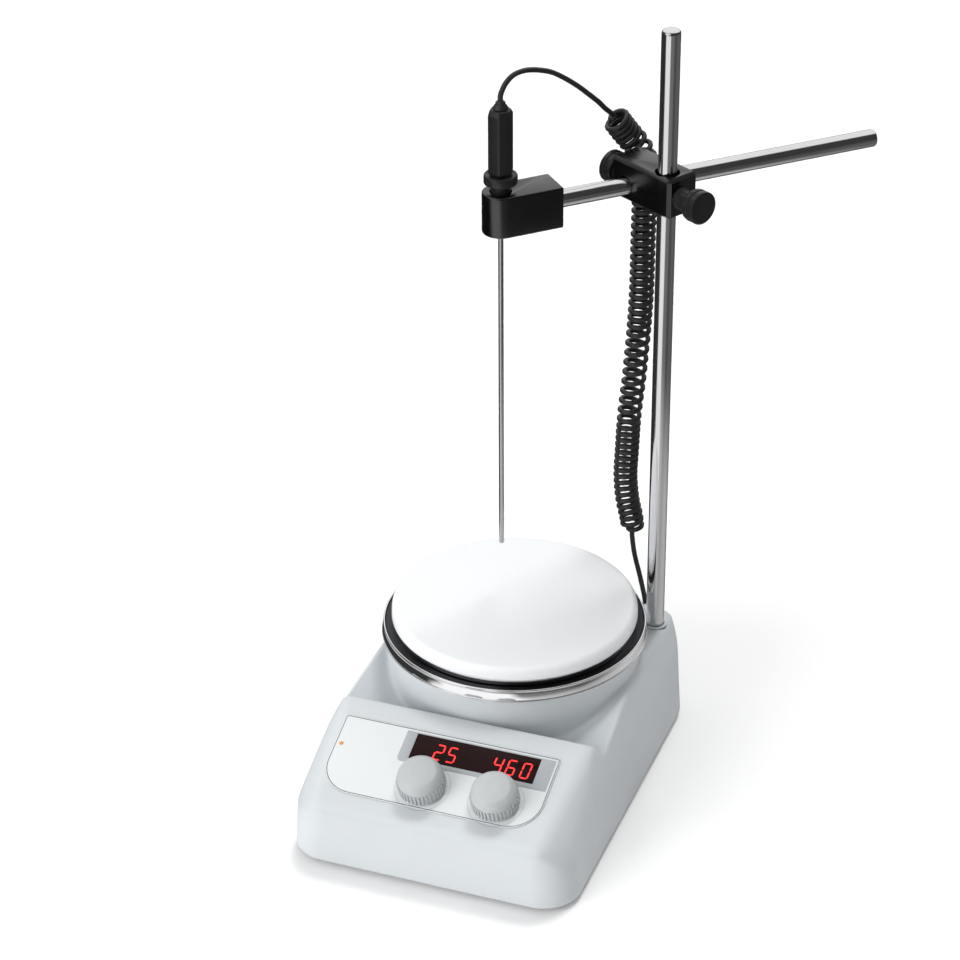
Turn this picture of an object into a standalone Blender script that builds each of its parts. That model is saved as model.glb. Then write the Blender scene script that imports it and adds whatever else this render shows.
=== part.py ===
"""Heated magnetic stirrer with a support rod, boss head and temperature probe.

Lengths are in metres. Heights in the code are above the bench, and the bench frame
lowers the model, so that the origin is the centre of the plate's top face.
X runs to the right, Y to the rear and Z up.
"""
import math

import bmesh
import bpy
from mathutils import Vector

# Clearances and counts
GAP = 0.0003
RUN_GAP = 0.0005
OVERRUN = 0.004
ROUND_STEPS = 48
MIDDLE_STEPS = 24
SMALL_STEPS = 12

# Hot plate
PLATE_TOP = 0.095
PLATE_RADIUS = 0.0675
PLATE_THICKNESS = 0.008
PLATE_EDGE = 0.002
PLATE_SPIGOT_RADIUS = 0.058
PLATE_SPIGOT = 0.003

# Pod under the plate and its stack
POD_FOOT_RADIUS = 0.066
POD_RADIUS = 0.070
POD_WALL = 0.003
POD_TOP = 0.083
RING_BOTTOM = 0.0773
RING_TOP = 0.0845
RING_RADIUS = 0.073
RING_UPPER_RADIUS = 0.0722
RING_LIP = 0.001
LEDGE_WIDTH = 0.006
LEDGE_THICKNESS = 0.003
LEDGE_TOP = 0.070
SHIELD_THICKNESS = 0.0015
INSULATION_RADIUS = 0.056
INSULATION_THICKNESS = 0.008
HEATER_RADIUS = 0.054
HEATER_THICKNESS = 0.003
POST_RADIUS = 0.003
POST_CIRCLE = 0.044
POST_COUNT = 3

# Housing
BASE_WIDTH = 0.160
FRONT_Y = -0.141
REAR_Y = 0.074
CORNER_RADIUS = 0.021
CORNER_STEPS = 6
SIDE_DRAFT = 0.062
HOUSING_BOTTOM = 0.003
WALL = 0.003
FACET_WALL = 0.0044
RIDGE_Y = -0.076
RIDGE_HEIGHT = 0.064
RIDGE_LAND = 0.003
PANEL_SLOPE = math.radians(21)
REAR_DECK_HEIGHT = 0.061
ROOF_WALL = 0.0095
VALLEY_Y = -0.066
VALLEY_HEIGHT = 0.044
VALLEY_RISE_Y = 0.020
VALLEY_HALF = 0.0675
DECK_HALF = 0.071
PANEL_REAR_HALF = 0.0695
PANEL_FRONT_HALF = 0.064
PANEL_FACET_RUN = 1.05
DECK_FACET_RUN = 0.57
POST_BOSS_RADIUS = 0.0045
POST_BOSS_X = 0.066
FRONT_POST_Y = -0.116
REAR_POST_Y = 0.034
POST_ROOF_BITE = 0.0015

# Bottom cover, feet and screws
COVER_THICKNESS = 0.003
FOOT_RADIUS = 0.009
FOOT_X = 0.060
FRONT_FOOT_Y = -0.096
REAR_FOOT_Y = 0.056
FOOT_EDGE = 0.0006
SCREW_RADIUS = 0.0016
SCREW_HEAD_RADIUS = 0.003
SCREW_HEAD = 0.0015
SCREW_LENGTH = 0.012

# Motor and magnet drive
MOTOR_RADIUS = 0.030
MOTOR_HEIGHT = 0.028
MOTOR_EDGE = 0.0015
BRACKET_LENGTH = 0.090
BRACKET_WIDTH = 0.046
BRACKET_THICKNESS = 0.002
BRACKET_LEG_RADIUS = 0.004
BRACKET_HEIGHT = 0.014
SHAFT_RADIUS = 0.003
SHAFT_BITE = 0.008
YOKE_LENGTH = 0.080
YOKE_WIDTH = 0.018
YOKE_THICKNESS = 0.004
YOKE_BOTTOM = 0.052
MAGNET_RADIUS = 0.008
MAGNET_HEIGHT = 0.010
MAGNET_CIRCLE = 0.029

# Front panel, placed across (X) and down the slope from the ridge
OVERLAY_THICKNESS = 0.0005
OVERLAY_LEFT = -0.0645
OVERLAY_RIGHT = 0.057
OVERLAY_TOP = 0.011
OVERLAY_BOTTOM = 0.0585
OVERLAY_CORNER = 0.018
OVERLAY_SMALL_CORNER = 0.0015
OVERLAY_STEPS = 8
WINDOW_LEFT = -0.0285
WINDOW_RIGHT = 0.055
WINDOW_TOP = 0.013
WINDOW_BOTTOM = 0.0325
WINDOW_THICKNESS = 0.0012
DISPLAY_MARGIN = 0.003
INDICATOR_RADIUS = 0.0012
INDICATOR_LENGTH = 0.006
INDICATOR_X = -0.0609
INDICATOR_DOWN = 0.0294
KNOB_RADIUS = 0.013
KNOB_HEIGHT = 0.0145
KNOB_SKIRT = 0.007
KNOB_CAP_RADIUS = 0.0118
KNOB_WALL = 0.002
KNOB_HUB_RADIUS = 0.0045
KNOB_RIBS = 40
KNOB_LIFT = 0.0008
TEMP_KNOB_X = -0.009
SPEED_KNOB_X = 0.032
KNOB_DOWN = 0.045
STEM_RADIUS = 0.003
STEM_BITE = 0.008
ENCODER_SIDE = 0.013
ENCODER_DEPTH = 0.0065
BUSH_RADIUS = 0.0045
NUT_RADIUS = 0.0065
NUT_THICKNESS = 0.002
NUT_SIDES = 6
BOARD_THICKNESS = 0.0016
BOARD_DEPTH_BELOW = 0.0140
BOARD_LEFT = -0.0612
BOARD_RIGHT = 0.058
BOARD_TOP = 0.012
BOARD_BOTTOM = 0.0525

# Rear panel
INLET_X = -0.045
INLET_HEIGHT = 0.028
INLET_WIDTH = 0.027
INLET_TALL = 0.020
INLET_FLANGE = 0.003
INLET_FLANGE_THICKNESS = 0.002
INLET_DEPTH = 0.016
INLET_FLOOR = 0.003
INLET_WALL = 0.0025
PIN_WIDTH = 0.002
PIN_TALL = 0.004
PIN_LENGTH = 0.010
PIN_SPREAD = 0.007
PIN_LIFT = 0.002
ROCKER_X = -0.004
ROCKER_HEIGHT = 0.028
ROCKER_FRAME_WIDTH = 0.015
ROCKER_FRAME_TALL = 0.021
ROCKER_FRAME_WALL = 0.002
ROCKER_DEPTH = 0.012
ROCKER_PROUD = 0.0025
ROCKER_TILT = math.radians(8)
ROCKER_THICKNESS = 0.006
SOCKET_X = 0.047
SOCKET_HEIGHT = 0.031
SOCKET_RADIUS = 0.0075
SOCKET_BORE = 0.0055
SOCKET_DEPTH = 0.009
SOCKET_FLANGE_RADIUS = 0.0095
SOCKET_FLANGE_THICKNESS = 0.002
PLUG_PIN_RADIUS = 0.005
PLUG_PIN_LENGTH = 0.006
PLUG_RADIUS = 0.0065
PLUG_NECK_RADIUS = 0.0035
PLUG_NECK_RISE = 0.013
POWER_BOARD_LENGTH = 0.060
POWER_BOARD_WIDTH = 0.024
POWER_BOARD_X = -0.030
POWER_BOARD_Y = 0.052
POWER_BOARD_HEIGHT = 0.009
TRANSFORMER_LENGTH = 0.020
TRANSFORMER_WIDTH = 0.014
TRANSFORMER_HEIGHT = 0.006

# Support rod
ROD_X = 0.0645
ROD_Y = 0.053
ROD_RADIUS = 0.005
ROD_TOP = 0.417
ROD_DOME = 0.002
ROD_BITE = 0.024
BUSH_WALL = 0.0009
ROD_BOSS_RADIUS = 0.0095
ROD_BOSS_BOTTOM = 0.030
COLLAR_RADIUS = 0.0066
COLLAR_HEIGHT = 0.0010

# Boss head, whose long axis and arm bore have their own directions in plan
ARM_HEIGHT = 0.325
BOSS_AXIS = math.radians(-30)
ARM_AXIS = math.radians(44)
BOSS_ARM_OFFSET = 0.0211
BOSS_LEFT = -0.0345
BOSS_RIGHT = 0.0098
BOSS_FRONT = -0.0078
BOSS_BACK = 0.0126
BOSS_BELOW_ARM = 0.0084
BOSS_ABOVE_ARM = 0.0138
BOSS_EDGE = 0.0012
BOSS_ROD_BORE = 0.0062
ARM_BORE = 0.0053
THUMB_RADIUS = 0.0088
THUMB_THICKNESS = 0.008
THUMB_EDGE = 0.0015
THUMB_NECK_RADIUS = 0.006
ROD_SCREW_NECK = 0.0099
ARM_SCREW_NECK = 0.0010
THUMB_STEM_RADIUS = 0.0025
THUMB_LIFT = 0.0027

# Arm, sensor holder and probe
ARM_RADIUS = 0.0048
ARM_BEHIND = 0.1404
ARM_BITE = 0.014
HOLDER_LENGTH = 0.0313
HOLDER_WIDTH = 0.0196
HOLDER_BOTTOM = 0.3130
HOLDER_TOP = 0.3358
HOLDER_STEPS = 16
HOLDER_FROM_BOSS = 0.0478
SHEATH_RADIUS = 0.0014
SHEATH_TIP = 0.125
SHEATH_BORE = 0.0022
SEAT_RADIUS = 0.0058
SEAT_DEPTH = 0.004
COLLAR_BOTTOM = 0.3402
PROBE_NECK_RADIUS = 0.0052
PROBE_COLLAR_RADIUS = 0.0088
PROBE_COLLAR_TALL = 0.0053
HANDLE_FLAT = 0.0061
HANDLE_TOP = 0.3810
GLAND_RADIUS = 0.0045
GLAND_TIP_RADIUS = 0.0018
GLAND_HEIGHT = 0.0046

# Probe lead
CORD_RADIUS = 0.0014
HANGING_CURL = 0.0056
UPPER_CURL = 0.0064
CURL_POINTS = 8
CURL_RAMP_TURNS = 0.9
OWN_LENGTH = 0.007
CORD_POINT_STEP = 0.0035
COIL_BOTTOM = 0.0916
COIL_SPLIT = 0.303
COIL_Y = 0.091
UPPER_PITCHES = (0.0049, 0.0041)
UPPER_PITCH_SHARES = (0.72, 1.0)
HANGING_PITCHES = (0.0039, 0.0061, 0.0046)
HANGING_PITCH_SHARES = (0.36, 0.63, 1.0)
PITCH_BLEND_SHARE = 0.05
HANGING_ROUTE = [
    (0.0383, COIL_Y, COIL_BOTTOM), (0.0380, COIL_Y, 0.102), (0.0350, COIL_Y, 0.116), (0.0336, COIL_Y, 0.131),
    (0.0341, COIL_Y, 0.148), (0.0352, COIL_Y, 0.172), (0.0376, COIL_Y, 0.198), (0.0402, COIL_Y, 0.241),
    (0.0406, COIL_Y, 0.280), (0.0408, COIL_Y, COIL_SPLIT),
]
UPPER_ROUTE = [
    (0.0408, COIL_Y, COIL_SPLIT), (0.0405, 0.0905, 0.3190), (0.0396, 0.0902, 0.3275), (0.0372, 0.0893, 0.3335),
    (0.0341, 0.0880, 0.3380), (0.0313, 0.0862, 0.3423), (0.0286, 0.0840, 0.3471), (0.0260, 0.0815, 0.3525),
    (0.0247, 0.0795, 0.3552),
]
ARC_ROUTE = [
    (0.0247, 0.0795, 0.3552), (0.0228, 0.0758, 0.3589), (0.0208, 0.0716, 0.3637), (0.0178, 0.0657, 0.3696),
    (0.0136, 0.0572, 0.3777), (0.0095, 0.0489, 0.3846), (0.0054, 0.0408, 0.3904), (0.0017, 0.0335, 0.3939),
    (-0.0015, 0.0270, 0.3962), (-0.0043, 0.0214, 0.3971), (-0.0070, 0.0159, 0.3965), (-0.0092, 0.0115, 0.3935),
    (-0.0103, 0.0094, 0.3901),
]
DOWN_ROUTE = [(0.0383, COIL_Y, COIL_BOTTOM), (0.0400, COIL_Y, 0.080), (0.0440, COIL_Y, 0.064)]

# Finishes as colour, roughness and metallic value
HOUSING_GREY = ((0.72, 0.75, 0.77, 1), 0.5, 0)
WHITE_CERAMIC = ((0.90, 0.92, 0.94, 1), 0.3, 0)
OVERLAY_WHITE = ((0.85, 0.87, 0.88, 1), 0.45, 0)
KNOB_GREY = ((0.66, 0.68, 0.70, 1), 0.5, 0)
CHROME = ((0.80, 0.80, 0.80, 1), 0.12, 1)
STEEL = ((0.62, 0.62, 0.63, 1), 0.25, 1)
DARK_STEEL = ((0.30, 0.30, 0.32, 1), 0.4, 1)
COPPER = ((0.72, 0.42, 0.24, 1), 0.35, 1)
BLACK_ANODISED = ((0.03, 0.03, 0.035, 1), 0.4, 0)
BLACK_PLASTIC = ((0.025, 0.025, 0.027, 1), 0.45, 0)
BLACK_RUBBER = ((0.02, 0.02, 0.02, 1), 0.75, 0)
DISPLAY_RED = ((0.10, 0.01, 0.01, 1), 0.15, 0)
BOARD_GREEN = ((0.03, 0.20, 0.10, 1), 0.6, 0)
INSULATION = ((0.80, 0.76, 0.68, 1), 0.95, 0)
AMBER = ((0.75, 0.35, 0.08, 1), 0.3, 0)


def clear_scene():
    """Remove every object, so that the script can run again in an open file."""
    for old in list(bpy.data.objects):
        bpy.data.objects.remove(old, do_unlink=True)


def frame(name, location, rotation=(0, 0, 0), parent=None):
    """Add an empty that carries pieces or marks a joint's axis."""
    empty = bpy.data.objects.new(name, None)
    bpy.context.collection.objects.link(empty)
    empty.location = location
    empty.rotation_euler = rotation
    empty.parent = parent
    return empty


def material(name, finish):
    """Make a Principled material from a named finish."""
    colour, roughness, metallic = finish
    made = bpy.data.materials.new(name)
    made.use_nodes = True
    made.diffuse_color = colour
    shader = made.node_tree.nodes["Principled BSDF"]
    shader.inputs["Base Color"].default_value = colour
    shader.inputs["Roughness"].default_value = roughness
    shader.inputs["Metallic"].default_value = metallic
    return made


def to_mesh(name, shape):
    """Turn a bmesh into a mesh with its faces pointing out."""
    bmesh.ops.recalc_face_normals(shape, faces=shape.faces)
    mesh = bpy.data.meshes.new(name)
    shape.to_mesh(mesh)
    shape.free()
    return mesh


def node(name, shape, finish, parent, location=(0, 0, 0), rotation=(0, 0, 0)):
    """Add one sub-part with its own material."""
    made = bpy.data.objects.new(name, to_mesh(name, shape))
    bpy.context.collection.objects.link(made)
    made.data.materials.append(material(name + "_finish", finish))
    made.data.shade_smooth()
    made.data.set_sharp_from_angle(angle=math.radians(30))
    made.location = location
    made.rotation_euler = rotation
    made.parent = parent
    return made


def carve(target, shape, operation="DIFFERENCE"):
    """Cut a node with a hidden guide in the node's own coordinates, or join it to one."""
    guide = bpy.data.objects.new(target.name + "_guide", to_mesh(target.name + "_guide", shape))
    bpy.context.collection.objects.link(guide)
    guide.parent = target
    guide.hide_render = True
    guide.display_type = "WIRE"
    modifier = target.modifiers.new(operation.title(), "BOOLEAN")
    modifier.operation = operation
    modifier.solver = "EXACT"
    modifier.object = guide
    return guide


def ring_points(radius, steps, start=0):
    """Give the points of a circle about Z."""
    turns = [start + 2 * math.pi * step / steps for step in range(steps)]
    return [(radius * math.cos(turn), radius * math.sin(turn)) for turn in turns]


def turned(profile, steps, hollow=False):
    """Turn a profile of radius and height about Z, closed at the axis or as a ring."""
    shape = bmesh.new()
    rings = []
    for radius, height in profile:
        points = ring_points(radius, steps) if radius > 0 else [(0, 0)]
        rings.append([shape.verts.new((x, y, height)) for x, y in points])
    following = rings[1:] + rings[:1] if hollow else rings[1:]
    for first, second in zip(rings, following):
        for step in range(steps):
            corners = [first[step % len(first)], first[(step + 1) % len(first)],
                       second[(step + 1) % len(second)], second[step % len(second)]]
            shape.faces.new(list(dict.fromkeys(corners)))
    return shape


def cylinder(radius, bottom, top, steps, edge=0):
    """Make an upright solid cylinder, with a small edge chamfer if one is given."""
    profile = [(0, bottom), (radius - edge, bottom), (radius, bottom + edge),
               (radius, top - edge), (radius - edge, top), (0, top)]
    return turned(list(dict.fromkeys(profile)), steps)


def tube(inner, outer, bottom, top, steps):
    """Make an upright hollow cylinder."""
    return turned([(inner, bottom), (outer, bottom), (outer, top), (inner, top)], steps, hollow=True)


def prism(outline, bottom, top):
    """Extrude a plan outline between two heights."""
    shape = bmesh.new()
    face = shape.faces.new([shape.verts.new((x, y, bottom)) for x, y in outline])
    grown = bmesh.ops.extrude_face_region(shape, geom=[face])
    moved = [item for item in grown["geom"] if isinstance(item, bmesh.types.BMVert)]
    bmesh.ops.translate(shape, vec=(0, 0, top - bottom), verts=moved)
    return shape


def side_prism(outline, half_width):
    """Extrude a side outline of Y and height across X."""
    shape = prism([(y, z) for y, z in outline], -half_width, half_width)
    for vert in shape.verts:
        vert.co = (vert.co.z, vert.co.x, vert.co.y)
    return shape


def block(low, high, edge=0):
    """Make a box between two corners, with its edges chamfered if a size is given."""
    shape = prism([(low[0], low[1]), (high[0], low[1]), (high[0], high[1]), (low[0], high[1])], low[2], high[2])
    if edge > 0:
        bmesh.ops.bevel(shape, geom=list(shape.edges), offset=edge, segments=1, affect="EDGES")
    return shape


def hull(points):
    """Make the closed solid round a set of corner points."""
    shape = bmesh.new()
    for point in points:
        shape.verts.new(point)
    bmesh.ops.convex_hull(shape, input=shape.verts)
    return shape


def moved(shape, offset):
    """Move a shape's points."""
    bmesh.ops.translate(shape, vec=offset, verts=shape.verts)
    return shape


def laid_back(shape):
    """Turn an upright shape so that its top points to the rear."""
    for vert in shape.verts:
        vert.co = (vert.co.x, vert.co.z, -vert.co.y)
    return shape


def laid_right(shape):
    """Turn an upright shape so that its top points along X."""
    for vert in shape.verts:
        vert.co = (vert.co.z, vert.co.y, -vert.co.x)
    return shape


def joined(shapes):
    """Put several separate shapes in one."""
    whole = bmesh.new()
    for shape in shapes:
        mesh = to_mesh("joined", shape)
        whole.from_mesh(mesh)
        bpy.data.meshes.remove(mesh)
    return whole


def rounded_outline(left, right, front, rear, radii, steps):
    """Give a rectangle's outline, each corner rounded by its own radius.

    The radii are those of the front right, rear right, rear left and front left corners.
    """
    centres = [(right - radii[0], front + radii[0]), (right - radii[1], rear - radii[1]),
               (left + radii[2], rear - radii[2]), (left + radii[3], front + radii[3])]
    points = []
    for corner, (centre, radius) in enumerate(zip(centres, radii)):
        for step in range(steps + 1):
            turn = math.pi / 2 * (corner - 1 + step / steps)
            points.append((centre[0] + radius * math.cos(turn), centre[1] + radius * math.sin(turn)))
    return points


def base_outline(inset):
    """Give the housing's plan outline, drawn in by an inset."""
    half = BASE_WIDTH / 2 - inset
    radius = CORNER_RADIUS - inset
    return rounded_outline(-half, half, FRONT_Y + inset, REAR_Y - inset, [radius] * 4, CORNER_STEPS)


def panel_height(y):
    """Give the sloping panel's height above the bench."""
    return RIDGE_HEIGHT + (y - RIDGE_Y) * math.tan(PANEL_SLOPE)


def deck_height(y):
    """Give the height of the deck that runs from the ridge to the rear."""
    share = (y - RIDGE_Y - RIDGE_LAND) / (REAR_Y - RIDGE_Y - RIDGE_LAND)
    return RIDGE_HEIGHT + (REAR_DECK_HEIGHT - RIDGE_HEIGHT) * share


def carried_on(start, through, height):
    """Carry a side line on through a point up to a height."""
    share = (height - start[1]) / (through[1] - start[1])
    return (start[0] + (through[0] - start[0]) * share, height)


def drafted(shape):
    """Draw a shape's sides in towards the top, as the moulding's draft does."""
    for vert in shape.verts:
        vert.co.x *= 1 - SIDE_DRAFT * (vert.co.z - HOUSING_BOTTOM) / (BASE_WIDTH / 2)
    return shape


def panel_half(y):
    """Give half the panel's width, which narrows from the ridge to the front."""
    share = (RIDGE_Y - y) / (RIDGE_Y - FRONT_Y)
    return PANEL_REAR_HALF + (PANEL_FRONT_HALF - PANEL_REAR_HALF) * share


def side_facets(inset):
    """Make the four wedges that slope the top down to the side walls, drawn in by an inset."""
    outside = BASE_WIDTH / 2 + OVERRUN
    above = RIDGE_HEIGHT + OVERRUN
    front, rear = FRONT_Y - OVERRUN, REAR_Y + OVERRUN
    places = [(front, panel_half(front), panel_height(front), PANEL_FACET_RUN),
              (RIDGE_Y, PANEL_REAR_HALF, RIDGE_HEIGHT, PANEL_FACET_RUN),
              (rear, DECK_HALF, deck_height(rear), DECK_FACET_RUN)]
    wedges = []
    for side in (-1, 1):
        for pair in (places[:2], places[1:]):
            line = []
            for y, half, top, run in pair:
                crease = half - inset
                line += [(side * crease, y, top), (side * outside, y, top - (outside - crease) / run)]
            wedges.append(hull(line + [(x, y, above) for x, y, _ in line]))
    return wedges


def cavity_outline():
    """Give the side outline of the hollow inside the housing."""
    drop = WALL / math.cos(PANEL_SLOPE)
    front, rear = FRONT_Y + WALL, REAR_Y - WALL
    ridge = RIDGE_Y - WALL / 2
    return [(front, -OVERRUN), (front, panel_height(front) - drop), (ridge, panel_height(ridge) - drop),
            (VALLEY_Y - WALL, VALLEY_HEIGHT - WALL), (VALLEY_RISE_Y, deck_height(VALLEY_RISE_Y) - ROOF_WALL),
            (rear, deck_height(rear) - ROOF_WALL), (rear, -OVERRUN)]


def screw_places():
    """List where the bottom cover's screws go."""
    return [(side * POST_BOSS_X, y) for side in (-1, 1) for y in (FRONT_POST_Y, REAR_POST_Y)]


def panel_place(across, down, above=0):
    """Place something on the panel from its distances across and down the slope."""
    return (across, -down, above)


def make_housing(bench):
    """Build the one-piece housing: base, sloping panel, valley and pod."""
    solid = drafted(prism(base_outline(0), HOUSING_BOTTOM, RIDGE_HEIGHT))
    housing = node("upper_housing", solid, HOUSING_GREY, bench)
    above = RIDGE_HEIGHT + OVERRUN
    front, rear = FRONT_Y - OVERRUN, REAR_Y + OVERRUN
    half = BASE_WIDTH / 2 + OVERRUN
    top_line = [(front, panel_height(front)), (RIDGE_Y, RIDGE_HEIGHT), (RIDGE_Y + RIDGE_LAND, RIDGE_HEIGHT),
                (rear, deck_height(rear)), (rear, above), (front, above)]
    carve(housing, side_prism(top_line, half))
    for wedge in side_facets(0):
        carve(housing, wedge)
    low = (VALLEY_Y, VALLEY_HEIGHT)
    wall_top = carried_on(low, (RIDGE_Y + RIDGE_LAND + RUN_GAP, RIDGE_HEIGHT), above)
    rise_top = carried_on(low, (VALLEY_RISE_Y, deck_height(VALLEY_RISE_Y)), above)
    carve(housing, side_prism([low, rise_top, wall_top], VALLEY_HALF))
    pod = [(0, ROD_BOSS_BOTTOM), (POD_FOOT_RADIUS, ROD_BOSS_BOTTOM), (POD_RADIUS, RING_BOTTOM - GAP),
           (POD_RADIUS - RING_LIP, RING_BOTTOM - GAP), (POD_RADIUS - RING_LIP, POD_TOP), (0, POD_TOP)]
    carve(housing, turned(pod, ROUND_STEPS), "UNION")
    inside = carve(housing, drafted(prism(base_outline(WALL), -OVERRUN, RIDGE_HEIGHT)))
    carve(inside, side_prism(cavity_outline(), half), "INTERSECT")
    for wedge in side_facets(FACET_WALL):
        carve(inside, wedge)
    ledge_bore = POD_RADIUS - POD_WALL - LEDGE_WIDTH
    bore = POD_RADIUS - RING_LIP - POD_WALL
    well = [(0, HOUSING_BOTTOM), (ledge_bore, HOUSING_BOTTOM), (ledge_bore, LEDGE_TOP),
            (bore, LEDGE_TOP), (bore, POD_TOP + OVERRUN), (0, POD_TOP + OVERRUN)]
    carve(housing, turned(well, ROUND_STEPS))
    cover_top = HOUSING_BOTTOM + COVER_THICKNESS + GAP
    for x, y in screw_places():
        roof = deck_height(y) - ROOF_WALL / 2
        if y < RIDGE_Y:
            roof = panel_height(y) - (POST_BOSS_X + POST_BOSS_RADIUS - panel_half(y)) / PANEL_FACET_RUN
        post = cylinder(POST_BOSS_RADIUS, cover_top, roof - POST_ROOF_BITE, SMALL_STEPS)
        carve(housing, moved(post, (x, y, 0)), "UNION")
    rod_boss = cylinder(ROD_BOSS_RADIUS, ROD_BOSS_BOTTOM, deck_height(ROD_Y) - ROOF_WALL * 3 / 4, MIDDLE_STEPS)
    carve(housing, moved(rod_boss, (ROD_X, ROD_Y, 0)), "UNION")
    carve(housing, joined(housing_holes()))
    carve(housing, joined(panel_holes()))
    return housing


def housing_holes():
    """Make the cutters for the rod bush, the screws and the rear panel."""
    rod_foot = deck_height(ROD_Y) - ROD_BITE
    bush = ROD_RADIUS + GAP + BUSH_WALL + GAP
    holes = [moved(cylinder(bush, rod_foot - GAP, RIDGE_HEIGHT + OVERRUN, MIDDLE_STEPS), (ROD_X, ROD_Y, 0))]
    for x, y in screw_places():
        bore = cylinder(SCREW_RADIUS + GAP, -OVERRUN, HOUSING_BOTTOM + SCREW_LENGTH + GAP, SMALL_STEPS)
        holes.append(moved(bore, (x, y, 0)))
    rear, front = REAR_Y + OVERRUN, REAR_Y - WALL - OVERRUN
    for x, z, width, tall in ((INLET_X, INLET_HEIGHT, INLET_WIDTH, INLET_TALL),
                              (ROCKER_X, ROCKER_HEIGHT, ROCKER_FRAME_WIDTH, ROCKER_FRAME_TALL)):
        wide, high = width / 2 + GAP, tall / 2 + GAP
        holes.append(block((x - wide, front, z - high), (x + wide, rear, z + high)))
    socket = laid_back(cylinder(SOCKET_RADIUS + GAP, front, rear, MIDDLE_STEPS))
    holes.append(moved(socket, (SOCKET_X, 0, SOCKET_HEIGHT)))
    return holes


def panel_holes():
    """Make the cutters for the display, the knobs and the indicator, square to the panel."""
    deep, out = -(WALL + OVERRUN), OVERRUN
    window = block(panel_place(WINDOW_LEFT + DISPLAY_MARGIN - GAP, WINDOW_BOTTOM - DISPLAY_MARGIN + GAP, deep),
                   panel_place(WINDOW_RIGHT - DISPLAY_MARGIN + GAP, WINDOW_TOP + DISPLAY_MARGIN - GAP, out))
    holes = [window]
    for x in (TEMP_KNOB_X, SPEED_KNOB_X):
        holes.append(moved(cylinder(BUSH_RADIUS + GAP, deep, out, SMALL_STEPS), panel_place(x, KNOB_DOWN)))
    light = cylinder(INDICATOR_RADIUS + GAP, deep, out, SMALL_STEPS)
    holes.append(moved(light, panel_place(INDICATOR_X, INDICATOR_DOWN)))
    for shape in holes:
        for vert in shape.verts:
            x, up, out_of = vert.co
            vert.co = (x, RIDGE_Y + up * math.cos(PANEL_SLOPE) - out_of * math.sin(PANEL_SLOPE),
                       RIDGE_HEIGHT + up * math.sin(PANEL_SLOPE) + out_of * math.cos(PANEL_SLOPE))
    return holes


def make_bottom(bench):
    """Build the bottom cover, its feet and its screws."""
    cover = node("bottom_cover",
                 prism(base_outline(WALL + GAP * 2), HOUSING_BOTTOM, HOUSING_BOTTOM + COVER_THICKNESS),
                 DARK_STEEL, bench)
    holes = []
    heads = []
    for x, y in screw_places():
        head_seat, above = HOUSING_BOTTOM + SCREW_HEAD, HOUSING_BOTTOM + WALL + OVERRUN
        profile = [(0, -OVERRUN), (SCREW_HEAD_RADIUS + GAP, -OVERRUN), (SCREW_HEAD_RADIUS + GAP, head_seat),
                   (SCREW_RADIUS + GAP, head_seat), (SCREW_RADIUS + GAP, above), (0, above)]
        holes.append(moved(turned(profile, SMALL_STEPS), (x, y, 0)))
        head_top, tip = head_seat - GAP, HOUSING_BOTTOM + SCREW_LENGTH
        screw = [(0, HOUSING_BOTTOM), (SCREW_HEAD_RADIUS, HOUSING_BOTTOM), (SCREW_HEAD_RADIUS, head_top),
                 (SCREW_RADIUS, head_top), (SCREW_RADIUS, tip), (0, tip)]
        heads.append(moved(turned(screw, SMALL_STEPS), (x, y, 0)))
    carve(cover, joined(holes))
    for number, head in enumerate(heads):
        node(f"cover_screw_{number + 1}", head, STEEL, bench)
    for row, y in (("front", FRONT_FOOT_Y), ("rear", REAR_FOOT_Y)):
        for name, side in (("left", -1), ("right", 1)):
            foot = cylinder(FOOT_RADIUS, 0, HOUSING_BOTTOM - GAP, MIDDLE_STEPS, FOOT_EDGE)
            node(f"foot_{row}_{name}", foot, BLACK_RUBBER, bench, (side * FOOT_X, y, 0))


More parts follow.
